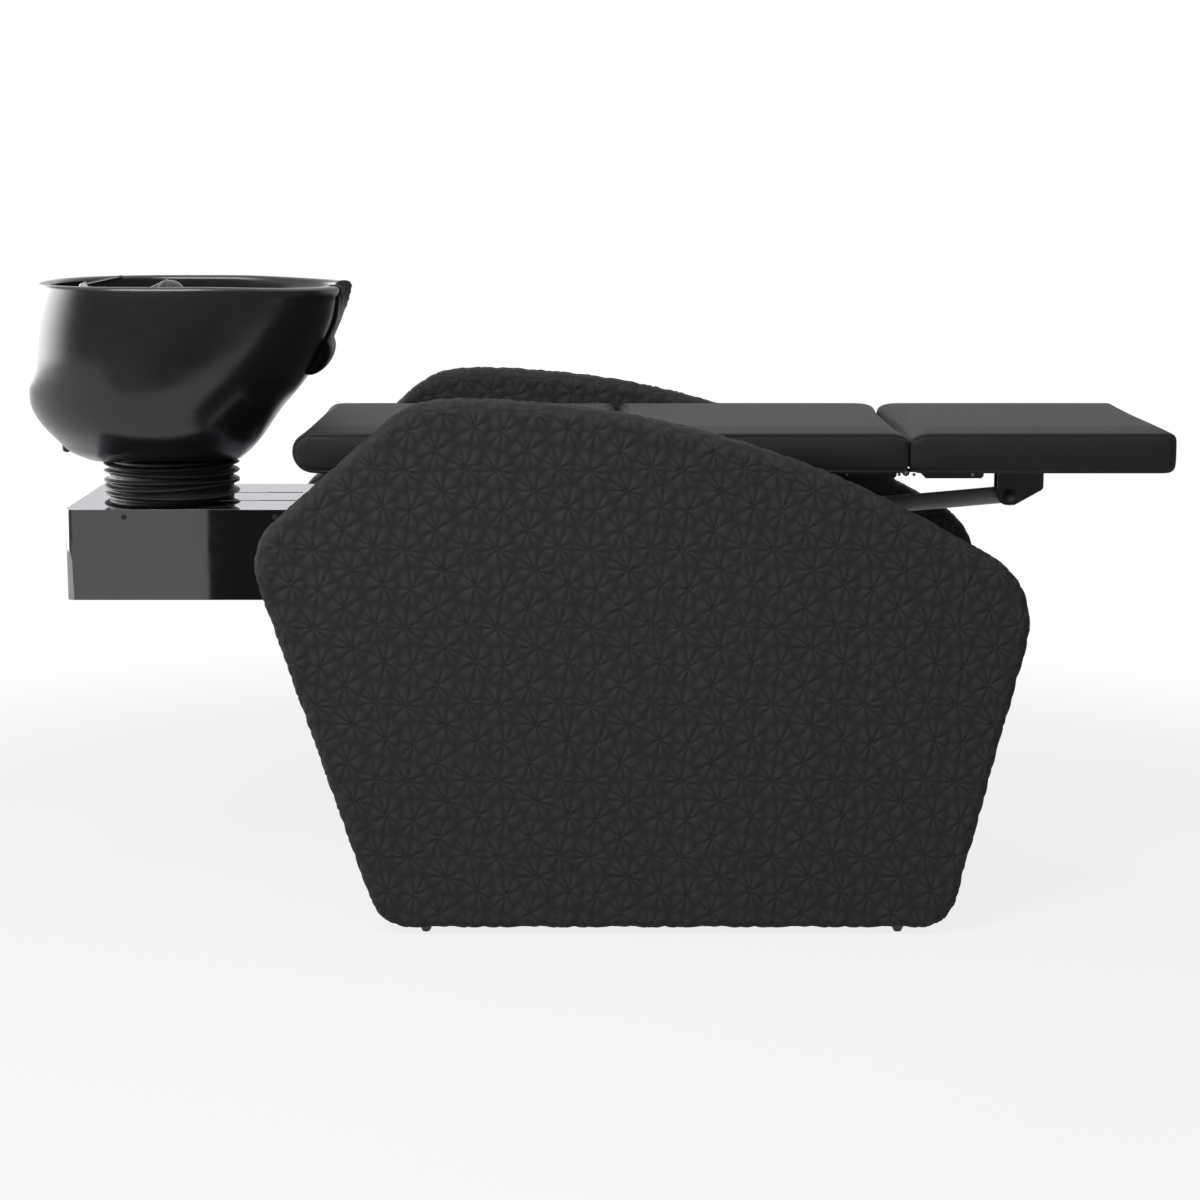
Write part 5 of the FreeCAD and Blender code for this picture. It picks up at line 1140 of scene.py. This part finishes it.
def waste_hose():
    """Ribbed drain hose inside the box, from the drain tail to the fixed waste pipe."""
    low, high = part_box("waste_hose")
    pipe_low, pipe_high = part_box("waste_pipe")
    start = Vector((bowl_axis, 0, high.z))
    end_y = (pipe_low.y + pipe_high.y) / 2
    end = Vector((high.x, end_y, low.z + HOSE_RADIUS))
    drop = start.z - end.z
    poles = [start, start - Vector((0, 0, drop)), end - Vector((drop, 0, 0)), end]
    path = geometry.interpolate_bezier(*poles, HOSE_ROWS)
    rows = []
    for k, spot in enumerate(path):
        ahead = path_heading(path, k)
        across = ahead.cross(Vector((0, 1, 0))).normalized()
        rib = HOSE_RADIUS - RIB_DEPTH + RIB_DEPTH * math.cos(k * RIB_TURN)
        around = ring(spot, across * rib, ahead.cross(across) * rib, HOSE_SIDES)
        rows.append(np.array([tuple(p) for p in around]))
    piece = ringed("drain_hose", rows)
    piece.data.materials.append(slot_looks["grey_pipe"])
    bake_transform(piece)
    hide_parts("waste_hose")
    return piece


def mixer_dome():
    """Slim turned dome of the mixer, tapering to a rounded tip."""
    low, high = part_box("mixer_cap")
    radius = (high.x - low.x) / 2
    rise = high.z - low.z
    profile = [(radius, 0.0)]
    profile += [(radius * size, rise * share) for share, size in DOME_SHARES]
    spot = ((low.x + high.x) / 2, (low.y + high.y) / 2, low.z)
    dome = turned("mixer_dome", profile, spot, UP, segments=48)
    piece = dress(dome, "mixer_cap", slot_of["mixer_cap"], "mixer_cap")
    piece.data.materials[0] = cap_look
    return piece


def hand_shower():
    """Arched hand shower: slim handle that swells into a flat round head."""
    low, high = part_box("hand_shower")
    face_low, face_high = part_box("shower_face")
    middle_y = (low.y + high.y) / 2
    head = Vector(((face_low.x + face_high.x) / 2, middle_y, face_high.z))
    start = Vector((low.x + HANDLE_TAIL, middle_y, low.z + HANDLE_TAIL))
    run = head - start
    path = []
    radii = []
    for t in np.linspace(0, 1, HANDLE_ROWS):
        path.append(start + run * t + Vector((0, 0, HANDLE_ARCH * t ** 3)))
        swell = math.sin(math.pi * min(t * HANDLE_SWELL_RATE, 1) / 2)
        swell += max(t - HANDLE_NECK_SHARE, 0) / (1 - HANDLE_NECK_SHARE)
        radii.append(HANDLE_RADIUS + HANDLE_SWELL * swell)
    handle = swept("shower_body", path, radii, sides=32, flatten=HANDLE_FLATNESS)
    radius = (face_high.x - face_low.x) / 2 + HEAD_RIM
    dome = [(HEAD_TIP, HEAD_RISE)]
    dome += [(radius * math.cos(lean), HEAD_RISE * math.sin(lean)) for lean in HEAD_LEANS]
    dome += [(radius - inset, height) for inset, height in HEAD_EDGE]
    head_piece = turned("shower_head", dome, head, UP, segments=56)
    dress(head_piece, "hand_shower", "black_fitting")
    dress(handle, "hand_shower", "black_fitting", "hand_shower")
    return handle


def bevelled(piece, width):
    """Softens a piece's sharp edges; gives the modifier."""
    bevel = piece.modifiers.new("soft_edges", "BEVEL")
    bevel.width = width
    bevel.segments = 2
    bevel.limit_method = "ANGLE"
    return bevel


def hinge_plates(node, name, body):
    """Hinge ears of a pad, cut a little below the pad's top so that they stay hidden beside it."""
    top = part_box("seat_pad")[1].z - EAR_DROP
    work, rim = cut_node(node, (0, 0, top), UP, clear_outer=True)
    bmesh.ops.edgenet_fill(work, edges=rim)
    mesh = bpy.data.meshes.new(name)
    work.to_mesh(mesh)
    work.free()
    piece = linked(name, mesh)
    bevelled(piece, EAR_BEVEL)
    return dress(piece, body, slot_of[node], node)


def screw_heads():
    """Domed screws along the strap hinges and a nut on either side of the bracket's pivot."""
    sides = ((-1, "near"), (1, "far"))
    for node, body in (("seat_strap_hinges", "seat"), ("leg_strap_hinges", "leg")):
        low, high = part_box(node)
        for side, word in sides:
            for k, share in enumerate(SCREW_SHARES):
                spot = (low.x + (high.x - low.x) * share, side * high.y, low.z + SCREW_LIFT)
                screw = turned(f"{node}_screw_{word}_{k}", SCREW_PROFILE, spot, (0, side, 0), segments=20)
                dress(screw, body, "bright_steel")
    bracket_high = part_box("leg_bracket")[1]
    link_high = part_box("leg_link")[1]
    for side, word in sides:
        y = side * (bracket_high.y - NUT_SINK)
        spot = (link_high.x - PIVOT_INSET, y, link_high.z - PIVOT_INSET)
        nut = turned("pivot_nut_" + word, NUT_PROFILE, spot, (0, side, 0), segments=24)
        dress(nut, "leg", "black_steel")


panel("right_panel_cover", "near_panel", -1)
panel("left_panel_cover", "far_panel", 1)
pad("back_pad", "back_board", "back", (1,))
pad("seat_pad", "seat_board", "seat", (-1, 1))
pad("leg_pad", "leg_board", "leg", (-1,))
bowl()
neck_rest()
grommet()
mixer_dome()
bellows()
waste_hose()
hand_shower()
hinge_plates("back_hinge_ears", "back_hinge_plates", "back")
hinge_plates("seat_hinge_ears", "seat_hinge_plates", "seat")
screw_heads()

# CAD nodes that stay: a material of their slot, and edges of these widths softened on those that show
EDGE_ANGLE = math.radians(35)
softened = {
    "service_box": 0.0012, "box_lid": 0.0008, "leg_bracket": 0.0009, "leg_strap_hinges": 0.0006,
    "seat_strap_hinges": 0.0006, "kick_boards": 0.001, "mixer_base": 0.0012, "shower_holder": 0.001,
    "mixer_lever": 0.0005, "crank_plates": 0.0008, "front_arms": 0.0008, "rear_arms": 0.0008,
    "control_box": 0.0015, "drive_housing": 0.0015,
}
for part in record["subparts"]:
    node = nodes[part["node"]]
    node.data.materials.clear()
    node.data.materials.append(node_looks.get(part["node"], slot_looks[part["material_slot"]]))
    if part["node"] in softened:
        weld = node.modifiers.new("weld", "WELD")
        weld.merge_threshold = WELD
        bevel = bevelled(node, softened[part["node"]])
        bevel.angle_limit = EDGE_ANGLE
        bevel.harden_normals = True


# Studio: white floor and background, large soft lamps, and screens that only reflections see
FLOOR_HALF = 40
FLOOR_LEVEL = 0.64
FLOOR_ROUGHNESS = 0.9
FLOOR_GLOW = 0.83
FLOOR_FADE = (1.3, 2.6)
WHITE = (1, 1, 1, 1)
SKY_FILL = 0.24

# Screens: edges in degrees from the camera's side, positive to the right, and brightness;
# the card brightens and fades over degrees to the left
FLAG_REACH = 5.5
FLAG_SKIRT = 2.0
FLAG_TOP = 6.0
FLAG_LIFT = 0.006
FLAG_COLUMNS = 24
LEFT_EDGE = -42
SHADE_SKIRT_EDGE = -25.5
SHADE_WALL_EDGE = -14.55
RIGHT_EDGE = 10
RIGHT_END = 105
GREY_LEVEL = 0.30
BLACK_LEVEL = 0.027
RIGHT_LEVEL = 0.17
UPPER_REACH = 5.4
UPPER_LOW = 0.45
UPPER_COLUMNS = 25
UPPER_LEVEL = 0.15
CARD_REACH = 4.0
CARD_END = -150
CARD_COLUMNS = 37
CARD_HEIGHTS = (0.35, 2.0, 2.9)
CARD_FADE = (1.0, 1.0, 0.03)
CARD_GLOW = 9.5
CARD_DARK = 0.16
CARD_RISE = (62, 96)
CARD_FALL = (118, 150)
CARD_FALL_SHARE = 0.6

# Lamps and camera
SOFTBOX_PLACE = (0.0, 0.5, 3.0)
SOFTBOX_AIM = (0, 0, 0.8)
SOFTBOX_SIZE = (2.6, 2.2)
SOFTBOX_POWER = 6
KEY_PLACE = (-1.2, -2.4, 3.2)
KEY_AIM = (0, 0, 0.5)
KEY_SIZE = (1.7, 1.7)
KEY_POWER = 102
CAMERA_PLACE = (0.021, -4.4855, 1.229)
CAMERA_TILT = 9.368
CAMERA_LENS = 80
CAMERA_SENSOR = 36


def plain_object(name, points, faces, material):
    piece = mesh_piece(name, points, faces)
    piece.data.materials.append(material)
    return piece


def seen_directly(tree):
    """1 for camera, glossy and transmission rays, else 0."""
    path = new_node(tree, "LightPath", {}).outputs
    inputs = {0: path["Is Camera Ray"], 1: path["Is Glossy Ray"]}
    first = new_node(tree, "Math", inputs, operation="MAXIMUM").outputs["Value"]
    inputs = {0: first, 1: path["Is Transmission Ray"]}
    return new_node(tree, "Math", inputs, operation="MAXIMUM").outputs["Value"]


def floor_material():
    """Matte floor that keeps the object's shadow and glows white, more so away from the object."""
    material, tree = new_material("studio_floor")
    shader = tree.nodes["Principled BSDF"]
    shader.inputs["Base Color"].default_value = (*grey(FLOOR_LEVEL), 1)
    shader.inputs["Roughness"].default_value = FLOOR_ROUGHNESS
    shader.inputs["Specular IOR Level"].default_value = 0
    place = new_node(tree, "TexCoord", {}).outputs["Object"]
    length = new_node(tree, "VectorMath", {0: place}, operation="LENGTH").outputs["Value"]
    inputs = {"Value": length, "From Min": FLOOR_FADE[0], "From Max": FLOOR_FADE[1], "To Min": FLOOR_GLOW}
    fade = new_node(tree, "MapRange", inputs, interpolation_type="SMOOTHSTEP").outputs["Result"]
    inputs = {0: fade, 1: seen_directly(tree)}
    share = new_node(tree, "Math", inputs, operation="MULTIPLY").outputs["Value"]
    glow = new_node(tree, "Emission", {}).outputs["Emission"]
    mix = new_node(tree, "MixShader", {"Fac": share, 1: shader.outputs["BSDF"], 2: glow})
    tree.links.new(mix.outputs["Shader"], tree.nodes["Material Output"].inputs["Surface"])
    return material


def front_spot(degrees, reach, z):
    """Point round the object: 0 degrees is towards the camera, positive to the right."""
    turn = math.radians(degrees)
    return (reach * math.sin(turn), -reach * math.cos(turn), z)


def screen(name, columns, level):
    """Bent screen through columns of points that reflections alone see; gives its glow too."""
    material, tree = new_material(name)
    glow = new_node(tree, "Emission", {"Color": (*grey(level), 1)})
    tree.links.new(glow.outputs["Emission"], tree.nodes["Material Output"].inputs["Surface"])
    points = [spot for column in columns for spot in column]
    faces = strip_faces(len(columns), len(columns[0]), closed=False)
    piece = plain_object(name, points, faces, material)
    piece.visible_camera = False
    piece.visible_diffuse = False
    piece.visible_shadow = False
    piece.visible_transmission = False
    piece.visible_volume_scatter = False
    return piece, tree, glow


def wall_flag(name, skirt_span, wall_span, level):
    """Curved screen with a skirt on the floor; spans are in degrees."""
    columns = []
    for near, far in zip(np.linspace(*skirt_span, FLAG_COLUMNS), np.linspace(*wall_span, FLAG_COLUMNS)):
        skirt = front_spot(near, FLAG_SKIRT, FLAG_LIFT)
        columns.append([skirt] + [front_spot(far, FLAG_REACH, z) for z in (FLAG_LIFT, FLAG_TOP)])
    screen(name, columns, level)


def upper_flag():
    """Even dark screen above the other flags, for the upper half of the bowl."""
    turns = np.linspace(LEFT_EDGE, RIGHT_END, UPPER_COLUMNS)
    columns = [[front_spot(degrees, UPPER_REACH, z) for z in (UPPER_LOW, FLAG_TOP)] for degrees in turns]
    screen("upper_flag", columns, UPPER_LEVEL)


def left_card():
    """Tall soft card on the left, brightest towards the rear, that draws the band down the bowl."""
    turns = np.linspace(LEFT_EDGE, CARD_END, CARD_COLUMNS)
    columns = [[front_spot(degrees, CARD_REACH, z) for z in CARD_HEIGHTS] for degrees in turns]
    piece, tree, glow = screen("left_card", columns, 1.0)
    left = np.repeat(-turns, len(CARD_HEIGHTS))
    levels = CARD_GLOW * smooth_step(left, *CARD_RISE) * (1 - CARD_FALL_SHARE * smooth_step(left, *CARD_FALL))
    levels = np.maximum(levels * np.tile(CARD_FADE, len(turns)), CARD_DARK)
    layer = piece.data.attributes.new("level", "FLOAT", "POINT")
    layer.data.foreach_set("value", levels.astype(np.float32))
    level = new_node(tree, "Attribute", {}, attribute_name="level")
    tree.links.new(level.outputs["Fac"], glow.inputs["Strength"])


def lamp(name, place, aim, size, power):
    data = bpy.data.lights.new(name, "AREA")
    data.shape = "RECTANGLE"
    data.size = size[0]
    data.size_y = size[1]
    data.energy = power
    piece = linked(name, data)
    piece.location = place
    piece.rotation_euler = (Vector(aim) - Vector(place)).to_track_quat("-Z", "Y").to_euler()


corners = [(x * FLOOR_HALF, y * FLOOR_HALF, 0) for x, y in ((-1, -1), (1, -1), (1, 1), (-1, 1))]
plain_object("floor", corners, [(0, 1, 2, 3)], floor_material())
wall_flag("grey_flag", (LEFT_EDGE, SHADE_SKIRT_EDGE), (LEFT_EDGE, SHADE_WALL_EDGE), GREY_LEVEL)
wall_flag("black_flag", (SHADE_SKIRT_EDGE, RIGHT_EDGE), (SHADE_WALL_EDGE, RIGHT_EDGE), BLACK_LEVEL)
wall_flag("right_flag", (RIGHT_EDGE, RIGHT_END), (RIGHT_EDGE, RIGHT_END), RIGHT_LEVEL)
upper_flag()
left_card()

world = bpy.data.worlds.new("studio")
scene.world = world
world.use_nodes = True
sky = world.node_tree
fill = sky.nodes["Background"]
fill.inputs["Color"].default_value = WHITE
fill.inputs["Strength"].default_value = SKY_FILL
shown = new_node(sky, "Background", {"Color": WHITE, "Strength": 1})
shaders = {1: fill.outputs["Background"], 2: shown.outputs["Background"]}
choice = new_node(sky, "MixShader", {"Fac": seen_directly(sky), **shaders})
sky.links.new(choice.outputs["Shader"], sky.nodes["World Output"].inputs["Surface"])

lamp("top_softbox", SOFTBOX_PLACE, SOFTBOX_AIM, SOFTBOX_SIZE, SOFTBOX_POWER)
lamp("front_key", KEY_PLACE, KEY_AIM, KEY_SIZE, KEY_POWER)

camera_data = bpy.data.cameras.new("camera")
camera_data.lens = CAMERA_LENS
camera_data.sensor_width = CAMERA_SENSOR
camera = linked("camera", camera_data)
camera.location = CAMERA_PLACE
camera.rotation_euler = (math.radians(90 - CAMERA_TILT), 0, 0)
scene.camera = camera
scene.view_settings.view_transform = "Standard"
